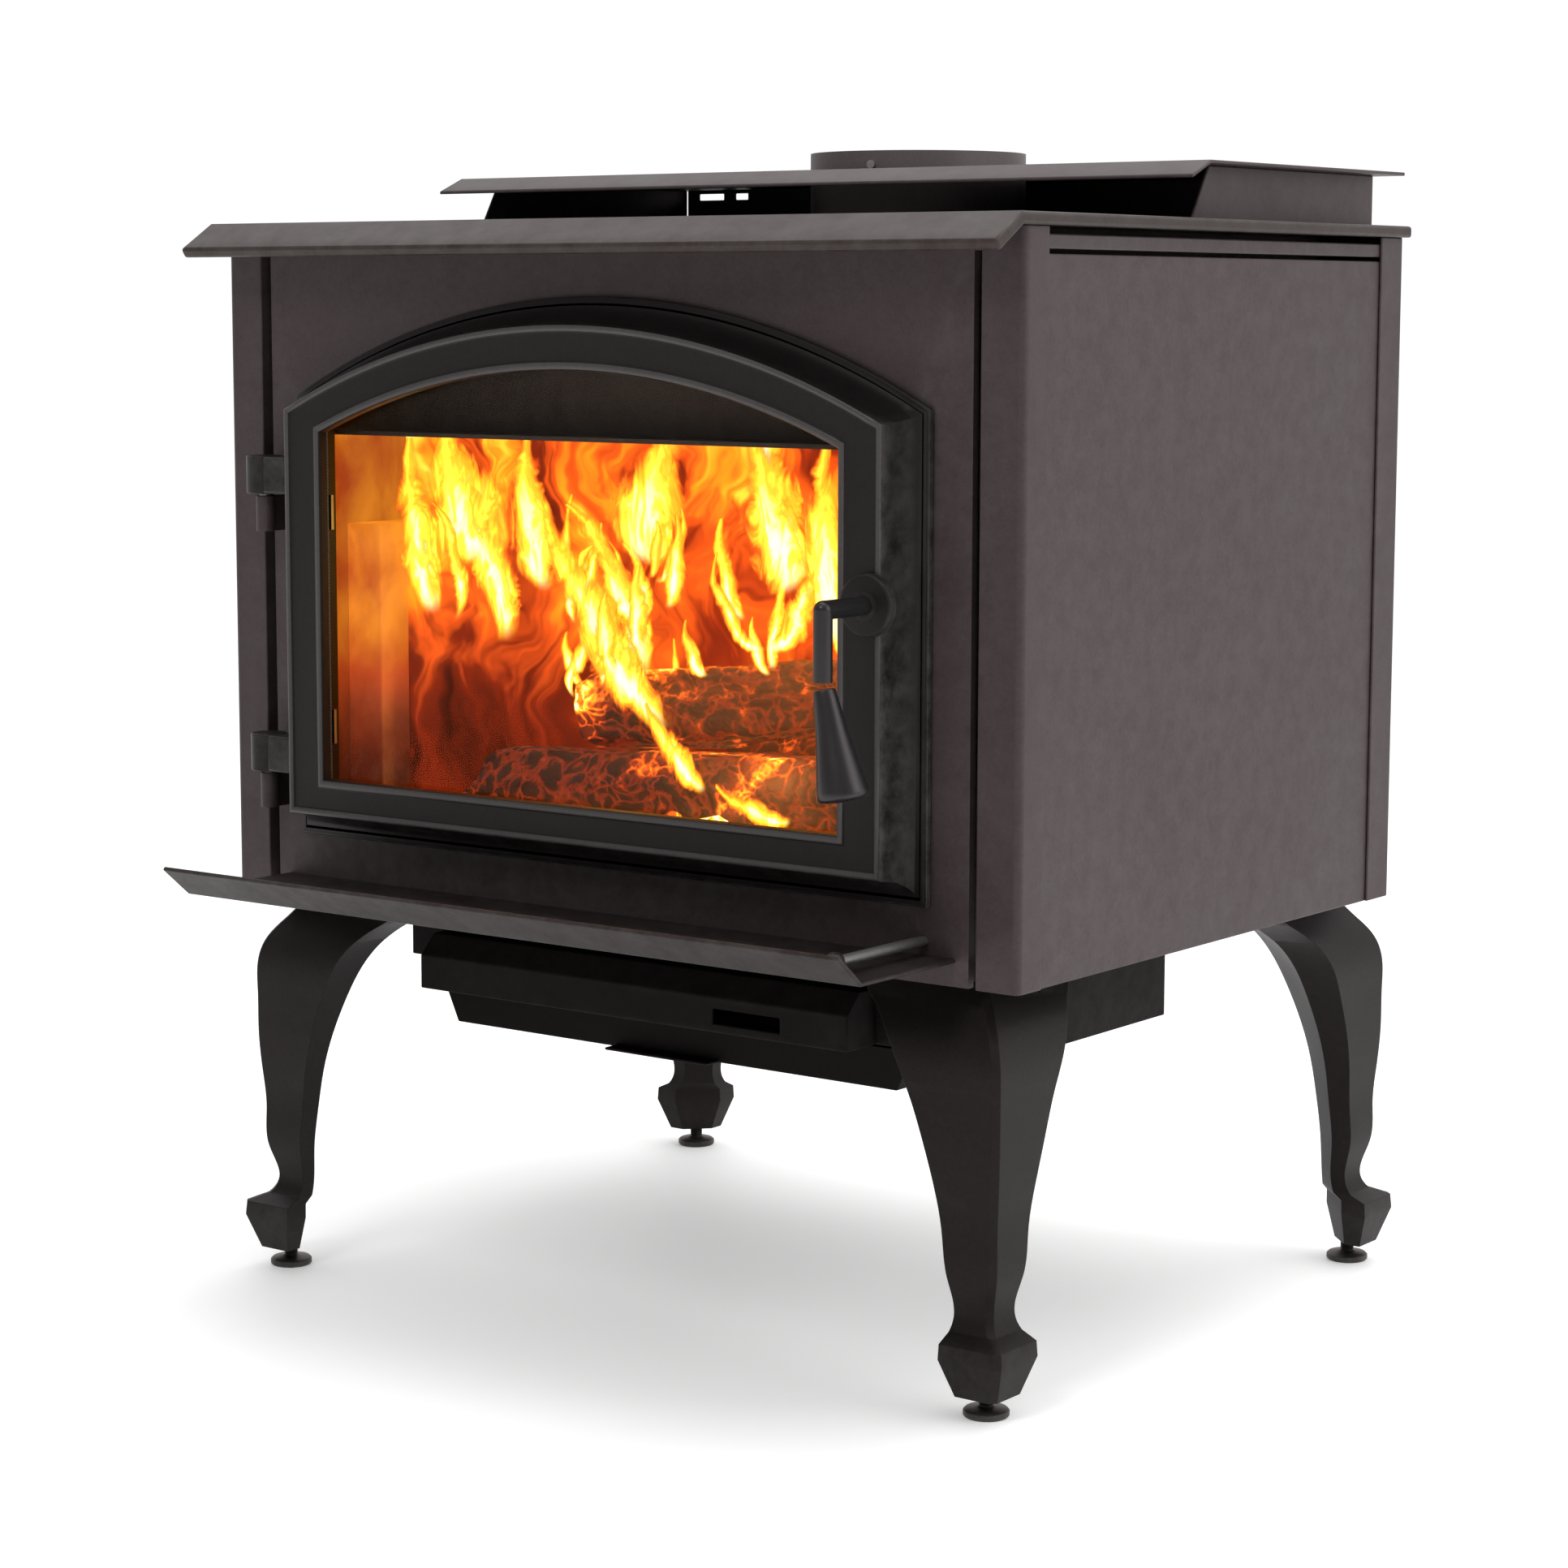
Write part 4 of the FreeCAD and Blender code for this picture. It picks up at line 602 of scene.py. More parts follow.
class Paintshop:
    """All finishes of the stove, each made once."""

    def __init__(self) -> None:
        """Make every finish."""
        self.paint = Coated("StovePaint", (0.030, 0.0205, 0.0210), (0.052, 0.037, 0.038), 0.52,
                            specular=0.34, grain=0.7, cloud=0.15, dust=0.04).build()
        self.warm_paint = Coated("WarmPaint", (0.020, 0.014, 0.012), (0.040, 0.029, 0.026), 0.48,
                                 specular=0.24, wear=0.25, dust=0.05).build()
        self.cast = Coated("CastIron", (0.006, 0.0045, 0.0045), (0.015, 0.0115, 0.0115), 0.5,
                           specular=0.16, bump=0.3, bump_depth=0.5 * MM, dust=0.03).build()
        self.door = Coated("DoorCasting", (0.005, 0.0042, 0.0042), (0.012, 0.0102, 0.0102), 0.45,
                           specular=0.22, bump=0.25, wear=0.35).build()
        self.handle = Coated("HandleBlack", (0.010, 0.010, 0.011), (0.022, 0.022, 0.023), 0.33,
                             metallic=0.2, grain=0.4, cloud=0.3, bump=0.12).build()
        # Lighter finish for the crowns of the door's beads: rubbed wear, and a painted highlight along the
        # beads.
        self.rubbed_and_highlit = Coated("RubbedCastingPaintedHighlight", (0.040, 0.037, 0.037), (0.070, 0.066, 0.066), 0.38,
                             metallic=0.2, specular=0.4, cloud=0.3, bump=0.2, wear=0.3).build()
        self.shelf = Coated("ShelfPaint", (0.009, 0.006, 0.0055), (0.020, 0.0145, 0.013), 0.5,
                            specular=0.25, wear=0.3, dust=0.04).build()
        self.collar = Coated("CollarPaint", (0.075, 0.062, 0.062), (0.120, 0.102, 0.102), 0.5,
                             cloud=0.3, bump=0.2, dust=0.04).build()
        # Painted shade: a darker, duller paint for the pieces under the stove, standing for the shade that
        # falls there.
        self.shade = Coated("PaintedShadeUnder", (0.006, 0.0045, 0.0045), (0.010, 0.0075, 0.0075), 0.62,
                            specular=0.08, wear=0.1).build()
        self.plate = Coated("HeatDarkenedPlate", (0.020, 0.016, 0.014), (0.050, 0.038, 0.032), 0.7,
                            metallic=0.1, specular=0.3, cloud=0.6, bump=0.4, bump_depth=0.8 * MM,
                            wear=0.1, dust=0.05).build()
        self.zinc = Coated("DulledZinc", (0.20, 0.195, 0.19), (0.36, 0.35, 0.34), 0.42, metallic=0.9,
                           grain=0.4, cloud=0.5, dust=0.05, worn=(0.5, 0.5, 0.48)).build()
        self.foot = Coated("BlackedSteel", (0.016, 0.015, 0.015), (0.040, 0.038, 0.037), 0.45,
                           metallic=0.5, grain=0.4, cloud=0.4, wear=0.5, dust=0.05).build()
        self.glass = CeramicGlass().build()
        self.brick = Brick("Firebrick").build()
        # Lit copies carry painted firelight on the firebox's bricks and steel walls.
        self.lit_brick = Brick("LitFirebrick", 1.1).build()
        self.lit_steel = Brick("LitSteel", 0.8, (0.06, 0.045, 0.035)).build()
        self.charred = Charcoal("CharredLog", cell=46.0, glow=0.35, strength=1.6).build()
        self.ember = Charcoal("Embers", cell=70.0, glow=0.95, strength=2.2).build()
        self.blaze = Blaze().build()
        self.tongue = Tongue().build()
        self.rope = Rope().build()


# --------------------------------------------------------------------------- mesh tools


def modify(piece: Object, name: str, kind: str, **settings) -> None:
    """Give a piece a modifier with some settings.

    Args:
        piece: The piece.
        name: The modifier's name.
        kind: Its type.
        **settings: Its properties.
    """
    modifier = piece.modifiers.new(name, kind)
    for key, setting in settings.items():
        setattr(modifier, key, setting)


def add_object(name: str, data: ID) -> Object:
    """Link a new object with the given data to the scene.

    Args:
        name: The object's name.
        data: Its mesh, light or camera.

    Returns:
        The new object.
    """
    item = bpy.data.objects.new(name, data)
    bpy.context.scene.collection.objects.link(item)
    return item


def finish_piece(name: str, shape: BMesh, finish: Material, body: str,
                 replaces: Iterable[str] = (), crease: float = 32.0,
                 bevel: float = 0.0) -> Object:
    """Turn a mesh into a piece of the stove.

    Args:
        name: The piece's name.
        shape: The finished mesh, which is freed.
        finish: Its material.
        body: The moving body that it rides on.
        replaces: Frame nodes that it stands for.
        crease: Angle in degrees past which an edge stays sharp.
        bevel: Width of a rounded edge, or 0.

    Returns:
        The new object.
    """
    limit = math.radians(crease)
    for edge in shape.edges:
        edge.smooth = len(edge.link_faces) == 2 and edge.calc_face_angle(0.0) < limit
    for face in shape.faces:
        face.smooth = True
    mesh = bpy.data.meshes.new(name)
    shape.to_mesh(mesh)
    shape.free()
    piece = add_object(name, mesh)
    mesh.materials.append(finish)
    if bevel > 0:
        modify(piece, "Rounding", "BEVEL", width=bevel, segments=2, limit_method="ANGLE",
               angle_limit=limit, harden_normals=True, use_clamp_overlap=True)
    modify(piece, "FlatFaces", "WEIGHTED_NORMAL", weight=100, keep_sharp=True)
    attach(piece, body)
    nodes = list(replaces)
    if nodes:
        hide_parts(*nodes)
    log.info("%s: %d faces on %s", name, len(mesh.polygons), body)
    return piece


def merged_copy(node: str) -> BMesh:
    """Return a frame node's mesh with its loose triangles merged into clean faces.

    Args:
        node: The frame node's name.

    Returns:
        A new mesh, which the caller frees.
    """
    shape = bmesh.new()
    shape.from_mesh(frame["nodes"][node].data)
    bmesh.ops.remove_doubles(shape, verts=shape.verts, dist=2e-6)
    bmesh.ops.dissolve_limit(shape, angle_limit=math.radians(0.5), verts=shape.verts, edges=shape.edges)
    return shape


def body_of_node(node: str) -> str:
    """Return the name of the moving body that a frame node belongs to."""
    bodies = frame["record"]["behaviour"]["bodies"]
    return next(body for body, nodes in bodies.items() if node in nodes)


def dress(node: str, finish: Material) -> None:
    """Give a frame node that stays as it is a finish.

    Args:
        node: The frame node's name.
        finish: Its material.
    """
    slots = frame["nodes"][node].data.materials
    slots.clear()
    slots.append(finish)
    log.info("%s: dressed with %s", node, finish.name)


def round_over(node: str, finish: Material, bevel: float) -> None:
    """Replace a frame node with the same shape whose edges are rounded over."""
    finish_piece("v_" + node, merged_copy(node), finish, body_of_node(node), [node], bevel=bevel)


@dataclass(frozen=True)
class Arch:
    """Outline of an arched panel in the XZ plane: a rectangle under a segmental arc."""

    half: float
    bottom: float
    peak: float
    radius: float

    def grown(self, amount: float) -> "Arch":
        """Return the outline moved outwards by an amount on every side."""
        return Arch(self.half + amount, self.bottom - amount, self.peak + amount, self.radius + amount)

    def toward(self, other: "Arch", share: float) -> "Arch":
        """Return an outline part of the way to another."""
        return Arch(*(a + (b - a) * share for a, b in zip(astuple(self), astuple(other))))

    def points(self, steps: int = 40) -> list[Point]:
        """Return the outline's points, anticlockwise seen from the front.

        Args:
            steps: Facets of the arc.

        Returns:
            Points, each x and z.
        """
        sweep = math.asin(self.half / self.radius)
        found = [(-self.half, self.bottom), (self.half, self.bottom)]
        for index in range(steps + 1):
            turn = sweep - 2 * sweep * index / steps
            height = self.peak - self.radius + self.radius * math.cos(turn)
            found.append((self.radius * math.sin(turn), height))
        return found


def skin(shape: BMesh, profile: Sequence[tuple[Arch, float]], closed: bool) -> None:
    """Extrude an outline through a profile of outlines and depths into a moulding.

    Args:
        shape: The mesh that takes the faces.
        profile: Outlines and their depths, in order around the section.
        closed: Whether the last outline joins the first.
    """
    outline, depth = profile[0]
    verts = [shape.verts.new((x, depth, z)) for x, z in outline.points()]
    edges = [shape.edges.new((verts[i - 1], verts[i])) for i in range(len(verts))]
    for outline, depth in list(profile[1:]) + (list(profile[:1]) if closed else []):
        made = bmesh.ops.extrude_edge_only(shape, edges=edges)
        fresh = {item for item in made["geom"] if isinstance(item, BMVert)}
        verts = [next(edge.other_vert(vert) for edge in vert.link_edges if edge.other_vert(vert) in fresh)
                 for vert in verts]
        for vert, (x, z) in zip(verts, outline.points()):
            vert.co = (x, depth, z)
        edges = [shape.edges.get((verts[i - 1], verts[i])) for i in range(len(verts))]
    bmesh.ops.remove_doubles(shape, verts=shape.verts, dist=1e-6)
    bmesh.ops.recalc_face_normals(shape, faces=shape.faces)


def block(shape: BMesh, low: Sequence[float], high: Sequence[float]) -> None:
    """Add a block between two corners.

    Args:
        shape: The mesh that takes the faces.
        low: Its lowest corner.
        high: Its highest corner.
    """
    size = [b - a for a, b in zip(low, high)]
    middle = [(a + b) / 2 for a, b in zip(low, high)]
    matrix = Matrix.Translation(middle) @ Matrix.Diagonal((*size, 1.0))
    bmesh.ops.create_cube(shape, size=1.0, matrix=matrix)


def turned(shape: BMesh, profile: Sequence[Point], origin: Sequence[float],
           axis: Sequence[float], steps: int = 40) -> None:
    """Spin a profile of (radius, height) points into a closed round solid.

    Args:
        shape: The mesh that takes the faces.
        profile: Points from one pole to the other; a radius of 0 closes the end.
        origin: Place of height 0 on the axis.
        axis: Direction of growing height.
        steps: Facets around.
    """
    aim = Vector((0, 0, 1)).rotation_difference(Vector(axis)).to_matrix().to_4x4()
    frame_matrix = Matrix.Translation(origin) @ aim
    verts = [shape.verts.new(frame_matrix @ Vector((r, 0, h))) for r, h in profile]
    edges = [shape.edges.new(pair) for pair in zip(verts, verts[1:])]
    bmesh.ops.spin(shape, geom=verts + edges, cent=origin, axis=Vector(axis), steps=steps,
                   angle=math.tau, use_merge=True)
    bmesh.ops.remove_doubles(shape, verts=shape.verts, dist=1e-6)
    bmesh.ops.recalc_face_normals(shape, faces=shape.faces)


# ------------------------------------------------------------------------ sub-assemblies


@dataclass
class Casing:
    """Cladding, top plate, raised deflector and everything else that is folded sheet."""

    shop: Paintshop
    edge: float = 0.9 * MM
    thick_edge: float = 2.2 * MM
    painted: Sequence[str] = (
        "front_post_left", "front_post_right", "rear_post_left", "rear_post_right",
        "side_panel_left", "side_panel_right", "side_rails", "rear_heat_shield",
        "deflector_support_left", "deflector_support_right", "front_plate", "deflector_plate")
    under: Sequence[str] = ("convection_pan", "air_inlet_box", "ash_drawer")
    hidden: Sequence[str] = ("drawer_runners", "casing_ties")

    def build(self) -> None:
        """Round over every sheet edge so that it catches the light."""
        for node in self.painted:
            round_over(node, self.shop.paint, self.edge)
        # Pieces under the stove take the painted shade finish.
        for node in self.under:
            round_over(node, self.shop.shade, self.edge)
        round_over("ash_shelf", self.shop.shelf, self.edge)
        round_over("flue_collar", self.shop.collar, self.edge)
        round_over("top_plate", self.shop.warm_paint, self.thick_edge)
        for node in self.hidden:
            dress(node, self.shop.plate)
        dress("collar_screws", self.shop.zinc)


@dataclass
class Legs:
    """Cast legs with their levelling feet and bolts."""

    shop: Paintshop
    edge: float = 2.8 * MM
    pad: float = 6 * MM
    stem: float = 5 * MM
    thread: float = 1.25 * MM
    thread_depth: float = 0.5 * MM

    def build(self) -> None:
        """Build the four corners."""
        for depth in ("front", "rear"):
            for side in ("left", "right"):
                corner = f"{depth}_{side}"
                round_over("leg_" + corner, self.shop.cast, self.edge)
                self.foot(corner)
        dress("leg_bolts", self.shop.zinc)

    def foot(self, corner: str) -> None:
        """Turn the levelling foot of one corner: domed pad, neck and screw.

        Args:
            corner: The corner's name, such as front_left.
        """
        node = "foot_" + corner
        low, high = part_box(node)
        radius = (high.x - low.x) / 2
        height = high.z - low.z
        centre = ((low.x + high.x) / 2, (low.y + high.y) / 2, low.z)
        pad, stem = self.pad, self.stem
        profile = [
            (0, 0),
            (radius - 1.2 * MM, 0),
            (radius, 1.2 * MM),
            (radius, pad - 2 * MM),
            (radius - 1.5 * MM, pad - 0.6 * MM),
            (stem + 2.5 * MM, pad),
            (stem, pad + 1 * MM),
        ]
        for index in range(int((height - pad - 2 * MM) / self.thread)):
            level = pad + 1.2 * MM + index * self.thread
            profile += [(stem, level), (stem - self.thread_depth, level + self.thread / 2)]
        profile += [(stem - 0.6 * MM, height), (0, height)]
        shape = bmesh.new()
        turned(shape, profile, centre, (0, 0, 1), 36)
        finish_piece("levelling_foot_" + corner, shape, self.shop.foot, body_of_node(node),
                     [node], crease=40)


@dataclass
class Door:
    """Arched cast door: moulded frame, hinge ears, glass, seals and clips.

    Args:
        shop: All finishes.
        rim: Outline of the raised front rim.
        flange: Outline of the flange against the front plate.
        opening: Outline of the glass opening.
        bead: Width of the bead along the rim.
        glass_bead: Width of the bead around the glass.
        flange_thickness: Thickness of the flange's edge.
        glass_overlap: Glass seat past the opening.
        ledge_overlap: Back recess past the opening.
        groove: Outer and inner edge of the rope's groove inside the flange.
        cove_steps: Facets of the cove between flange and rim.
        bead_steps: Facets of a bead.
        hinge_axis: Place of the hinge axis, x and y.
        ear_levels: Undersides of the hinge ears.
        ear_radius: Radius of an ear.
        ear_height: Height of an ear.
        ear_cap: Closed top of an ear.
        ear_edge: Rounding of an ear.
        pin_bore: Radius of the bore for the pin.
        arm: Low and high corner of a hinge arm, the height counted from the ear's underside.
    """

    shop: Paintshop
    rim: Arch = Arch(0.255, 0.345, 0.688, 0.575)
    flange: Arch = Arch(0.2705, 0.326, 0.706, 0.563)
    opening: Arch = Arch(0.221, 0.371, 0.658, 0.560)
    bead: float = 4.5 * MM
    glass_bead: float = 5.0 * MM
    flange_thickness: float = 5 * MM
    glass_overlap: float = 8 * MM
    ledge_overlap: float = 17 * MM
    groove: Point = (4 * MM, 12 * MM)
    cove_steps: int = 9
    bead_steps: int = 6
    hinge_axis: Point = (-0.290, -0.216)
    ear_levels: Sequence[float] = (0.568, 0.371)
    ear_radius: float = 13 * MM
    ear_height: float = 27 * MM
    ear_cap: float = 6 * MM
    ear_edge: float = 1.2 * MM
    pin_bore: float = 4.08 * MM
    arm: Sequence[Sequence[float]] = ((-0.281, -0.228, 0.6 * MM), (-0.256, -0.207, 26.4 * MM))

    def build(self) -> None:
        """Build the door's pieces."""
        self.casting()
        self.ears()
        self.arms()
        finish_piece("window_glass", merged_copy("door_glass"), self.shop.glass, "door",
                     ["door_glass"], bevel=0.4 * MM)
        for node in ("glass_gasket", "door_rope_seal"):
            dress(node, self.shop.rope)
        for node in ("glass_clips", "glass_clip_screws"):
            dress(node, self.shop.zinc)

    def casting(self) -> None:
        """Mould the frame and give the crowns of its beads a lighter finish: rubbed wear and a painted
        highlight.
        """
        low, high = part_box("door_frame")
        profile = self.front_profile(low.y, high.y) + self.back_profile(high.y)
        shape = bmesh.new()
        skin(shape, profile, closed=True)
        for face in shape.faces:
            # The frontmost faces, the bead crowns, take the second, lighter finish: rubbed wear plus a
            # painted highlight.
            face.material_index = int(face.calc_center_median().y < low.y + 0.7 * MM)
        casting = finish_piece("door_casting", shape, self.shop.door, "door", ["door_frame"],
                               crease=50)
        casting.data.materials.append(self.shop.rubbed_and_highlit)

    def front_profile(self, front: float, back: float) -> list[tuple[Arch, float]]:
        """Return the section that shows: land, cove, outer bead, face and inner bead.

        Args:
            front: Depth of the door's front.
            back: Depth of its back.

        Returns:
            Outlines and their depths.
        """
        edge_front = back - self.flange_thickness
        profile = [
            (self.flange.grown(-0.6 * MM), back),
            (self.flange, back - 0.8 * MM),
            (self.flange, edge_front + 0.8 * MM),
            (self.flange.grown(-0.6 * MM), edge_front + 0.1 * MM),
            (self.flange.grown(-2.2 * MM), edge_front),
        ]
        cove_start = edge_front - 0.4 * MM
        cove_run = front + 3.5 * MM - cove_start
        for index in range(self.cove_steps + 1):
            turn = index / self.cove_steps * math.pi / 2
            outline = self.flange.toward(self.rim, 0.16 + 0.80 * math.sin(turn))
            profile.append((outline, cove_start + cove_run * (1.0 - math.cos(turn))))
        turns = [math.pi * index / self.bead_steps for index in range(self.bead_steps + 1)]
        for turn in turns:
            width = self.bead * (1 - math.cos(turn)) / 2
            depth = front + 1.2 * MM - 1.2 * MM * math.sin(turn)
            profile.append((self.rim.grown(-0.2 * MM - width), depth))
        profile.append((self.rim.grown(-self.bead - 1.2 * MM), front + 1.6 * MM))
        profile.append((self.opening.grown(self.glass_bead + 2.0 * MM), front + 1.6 * MM))
        for turn in turns:
            width = self.glass_bead * (1 + math.cos(turn)) / 2
            depth = front + 1.0 * MM - 0.9 * MM * math.sin(turn)
            profile.append((self.opening.grown(width + 0.6 * MM), depth))
        profile.append((self.opening, front + 2.4 * MM))
        return profile

    def back_profile(self, back: float) -> list[tuple[Arch, float]]:
        """Return the section behind the opening: glass seat, recess and rope groove.

        Args:
            back: Depth of the door's back.

        Returns:
            Outlines and their depths.
        """
        glass_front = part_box("glass_gasket")[0].y
        glass_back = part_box("door_glass")[1].y
        rope_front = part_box("door_rope_seal")[0].y
        seat = self.opening.grown(self.glass_overlap)
        ledge = self.opening.grown(self.ledge_overlap)
        groove_out, groove_in = (self.flange.grown(-inset) for inset in self.groove)
        return [
            (self.opening, glass_front),
            (seat, glass_front),
            (seat, glass_back),
            (ledge, glass_back),
            (ledge, back),
            (groove_in, back),
            (groove_in, rope_front),
            (groove_out, rope_front),
            (groove_out, back),
        ]

    def ears(self) -> None:
        """Turn the two hinge ears, open below for their pins."""
        radius, height, soft, bore = self.ear_radius, self.ear_height, self.ear_edge, self.pin_bore
        profile = [
            (bore, 0),
            (radius - soft, 0),
            (radius - 0.35 * soft, 0.35 * soft),
            (radius, soft),
            (radius, height - soft),
            (radius - 0.35 * soft, height - 0.35 * soft),
            (radius - soft, height),
            (0, height),
            (0, height - self.ear_cap),
            (bore, height - self.ear_cap),
            (bore, 0),
        ]
        shape = bmesh.new()
        for level in self.ear_levels:
            turned(shape, profile, (*self.hinge_axis, level), (0, 0, 1), 48)
        finish_piece("hinge_ears", shape, self.shop.door, "door", crease=40)

    def arms(self) -> None:
        """Join each ear to the rim."""
        shape = bmesh.new()
        for level in self.ear_levels:
            low, high = ((x, y, level + z) for x, y, z in self.arm)
            block(shape, low, high)
        finish_piece("hinge_arms", shape, self.shop.door, "door", bevel=2.0 * MM)


@dataclass
class Hinges:
    """Knuckles on the front plate and the lift-off pins in them."""

    shop: Paintshop
    edge: float = 0.5 * MM

    def build(self) -> None:
        """Round the knuckles and the pins."""
        round_over("hinge_knuckles", self.shop.paint, self.edge)
        round_over("hinge_pins", self.shop.zinc, self.edge)


@dataclass
class Handle:
    """Boss, bent lever, tapered grip and the latch behind the door."""

    shop: Paintshop
    spindle_bore: float = 6.1 * MM
    lean: float = math.radians(13)
    grip_length: float = 74 * MM
    neck_rise: float = 5.5 * MM
    top_radius: float = 7.5 * MM
    low_radius: float = 17 * MM
    waist: float = 0.10
    grip_steps: int = 18

    def build(self) -> None:
        """Build the handle's pieces."""
        self.boss()
        round_over("handle_lever", self.shop.handle, 0.4 * MM)
        self.grip()
        for node in ("latch_cam", "latch_nut", "latch_strike"):
            dress(node, self.shop.zinc)

    def boss(self) -> None:
        """Turn the round boss with its stepped, softened face."""
        low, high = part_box("handle_boss")
        radius = (high.x - low.x) / 2
        height = high.y - low.y
        bore = self.spindle_bore
        centre = ((low.x + high.x) / 2, high.y, (low.z + high.z) / 2)
        profile = [
            (bore, 0),
            (radius, 0),
            (radius, height - 2.5 * MM),
            (radius - 0.8 * MM, height - 1.4 * MM),
            (radius - 2.4 * MM, height - 0.8 * MM),
            (bore + 4 * MM, height - 0.6 * MM),
            (bore + 3 * MM, height),
            (bore, height),
            (bore, 0),
        ]
        shape = bmesh.new()
        turned(shape, profile, centre, (0, -1, 0), 56)
        finish_piece("spindle_boss", shape, self.shop.door, "door", ["handle_boss"], crease=40)

    def grip(self) -> None:
        """Turn the tapered grip: slim neck, swelling body and a crowned end."""
        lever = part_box("handle_lever")
        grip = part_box("handle_grip")
        top = Vector(((lever[0].x + lever[1].x) / 2, (grip[0].y + grip[1].y) / 2, grip[1].z))
        axis = Vector((math.sin(self.lean), 0, -math.cos(self.lean)))
        length = self.grip_length
        low_radius = self.low_radius
        profile: list[Point] = [(0, 4 * MM), (5.8 * MM, 4.2 * MM), (6.6 * MM, 4.6 * MM)]
        for index in range(self.grip_steps + 1):
            share = index / self.grip_steps
            radius = self.top_radius + (low_radius - self.top_radius) * share
            drawn_in = 1 - self.waist * math.sin(math.pi * share) ** 2 * (1 - share)
            profile.append((radius * drawn_in - 0.5 * MM, self.neck_rise + (length - 9.5 * MM) * share))
        profile += [
            (low_radius - 1.6 * MM, length - 2.2 * MM),
            (low_radius - 3.4 * MM, length - 1.2 * MM),
            (low_radius * 0.5, length - 0.3 * MM),
            (0, length - 0.1 * MM),
        ]
        shape = bmesh.new()
        turned(shape, profile, top, axis, 64)
        finish_piece("grip", shape, self.shop.handle, "handle", ["handle_grip"], crease=45)


@dataclass
class AirControl:
    """Push rod of the air control, with its ball knob and damper disc."""

    shop: Paintshop
    steps: int = 16

    def build(self) -> None:
        """Build the rod and its knob."""
        round_over("air_control_rod", self.shop.zinc, 0.3 * MM)
        low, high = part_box("air_control_knob")
        radius = (high.x - low.x) / 2
        centre = ((low.x + high.x) / 2, (low.y + high.y) / 2, (low.z + high.z) / 2)
        turns = [math.pi * step / self.steps for step in range(1, self.steps)]
        ball = [(radius * math.sin(turn), -radius * math.cos(turn)) for turn in turns]
        shape = bmesh.new()
        turned(shape, [(0, -radius)] + ball + [(0, radius)], centre, (0, 1, 0), 40)
        finish_piece("air_knob", shape, self.shop.handle, "air_control", ["air_control_knob"],
                     crease=60)


@dataclass
class Firebox:
    """Welded firebox, its lining, baffle and air ducts."""

    shop: Paintshop
    edge: float = 1.2 * MM
    steel: Sequence[str] = ("firebox_back", "firebox_floor", "air_wash_duct", "primary_air_manifold")
    lit_steel: Sequence[str] = ("firebox_left", "firebox_right")
    bricks: Sequence[str] = ("hearth_bricks", "baffle_boards")
    lit_bricks: Sequence[str] = ("side_bricks_left", "side_bricks_right", "rear_bricks")

    def build(self) -> None:
        """Dress the steel and wear the bricks' edges."""
        for node in self.steel:
            dress(node, self.shop.plate)
        for node in self.lit_steel:
            dress(node, self.shop.lit_steel)
        dress("secondary_air_tubes", self.shop.zinc)
        for node in self.bricks:
            round_over(node, self.shop.brick, self.edge)
        for node in self.lit_bricks:
            round_over(node, self.shop.lit_brick, self.edge)


# ---------------------------------------------------------------------------- the fire


@dataclass(frozen=True)
class Flame:
    """One flame: a slim leaf with a lens section, bowed to one side.

    Args:
        root: Place of the flame's foot.
        tip: Place of its tip.
        width: Greatest half width.
        sway: How far its middle bows sideways.
        thickness: Depth of the leaf, as a share of its width.
        rings: Sections along the flame.
        facets: Facets around a section.
    """

    root: Vector
    tip: Vector
    width: float
    sway: float
    thickness: float = 0.14
    rings: int = 26
    facets: int = 16

    def section(self, shape: BMesh, share: float) -> list[BMVert]:
        """Add the points of one section.

        Args:
            shape: Mesh that takes the points.
            share: Place along the flame, from 0 to 1.

        Returns:
            The points, in order around.
        """
        along = self.tip - self.root
        deep = Vector((0, 1, 0))
        side = along.cross(deep).normalized()
        bow = self.sway * math.sin(math.pi * share) + 0.25 * self.sway * math.sin(3 * math.pi * share)
        middle = self.root + along * share + side * bow
        swell = math.sin(math.pi * min(share * 0.86 + 0.07, 1.0)) ** 0.8
        half = self.width * swell * (1 - 0.55 * share) + 0.4 * MM
        turns = [math.tau * step / self.facets for step in range(self.facets)]
        return [shape.verts.new(middle + side * (half * math.cos(turn))
                                + deep * (self.thickness * half * math.sin(turn))) for turn in turns]

    def add_to(self, shape: BMesh, layer: BMLayerItem) -> None:
        """Add the flame and its UV map to a mesh.

        Args:
            shape: Mesh that takes the flame.
            layer: Its UV layer.
        """
        circles = [self.section(shape, index / self.rings) for index in range(self.rings + 1)]
        marks = {vert: (math.cos(math.tau * step / self.facets), index / self.rings)
                 for index, circle in enumerate(circles) for step, vert in enumerate(circle)}
        faces = []
        for pair in zip(circles, circles[1:]):
            edges = [ring_edge(shape, circle, step) for circle in pair for step in range(self.facets)]
            faces += bmesh.ops.bridge_loops(shape, edges=edges)["faces"]
        for circle in (circles[0], circles[-1]):
            faces.append(shape.faces.new(circle))
        bmesh.ops.recalc_face_normals(shape, faces=faces)
        for face in faces:
            for loop in face.loops:
                loop[layer].uv = marks[loop.vert]


def ring_edge(shape: BMesh, circle: Sequence[BMVert], step: int
              ) -> BMEdge:
    """Return the edge from one point of a ring to the next, making it if it isn't there."""
    pair = (circle[step], circle[(step + 1) % len(circle)])
    return shape.edges.get(pair) or shape.edges.new(pair)


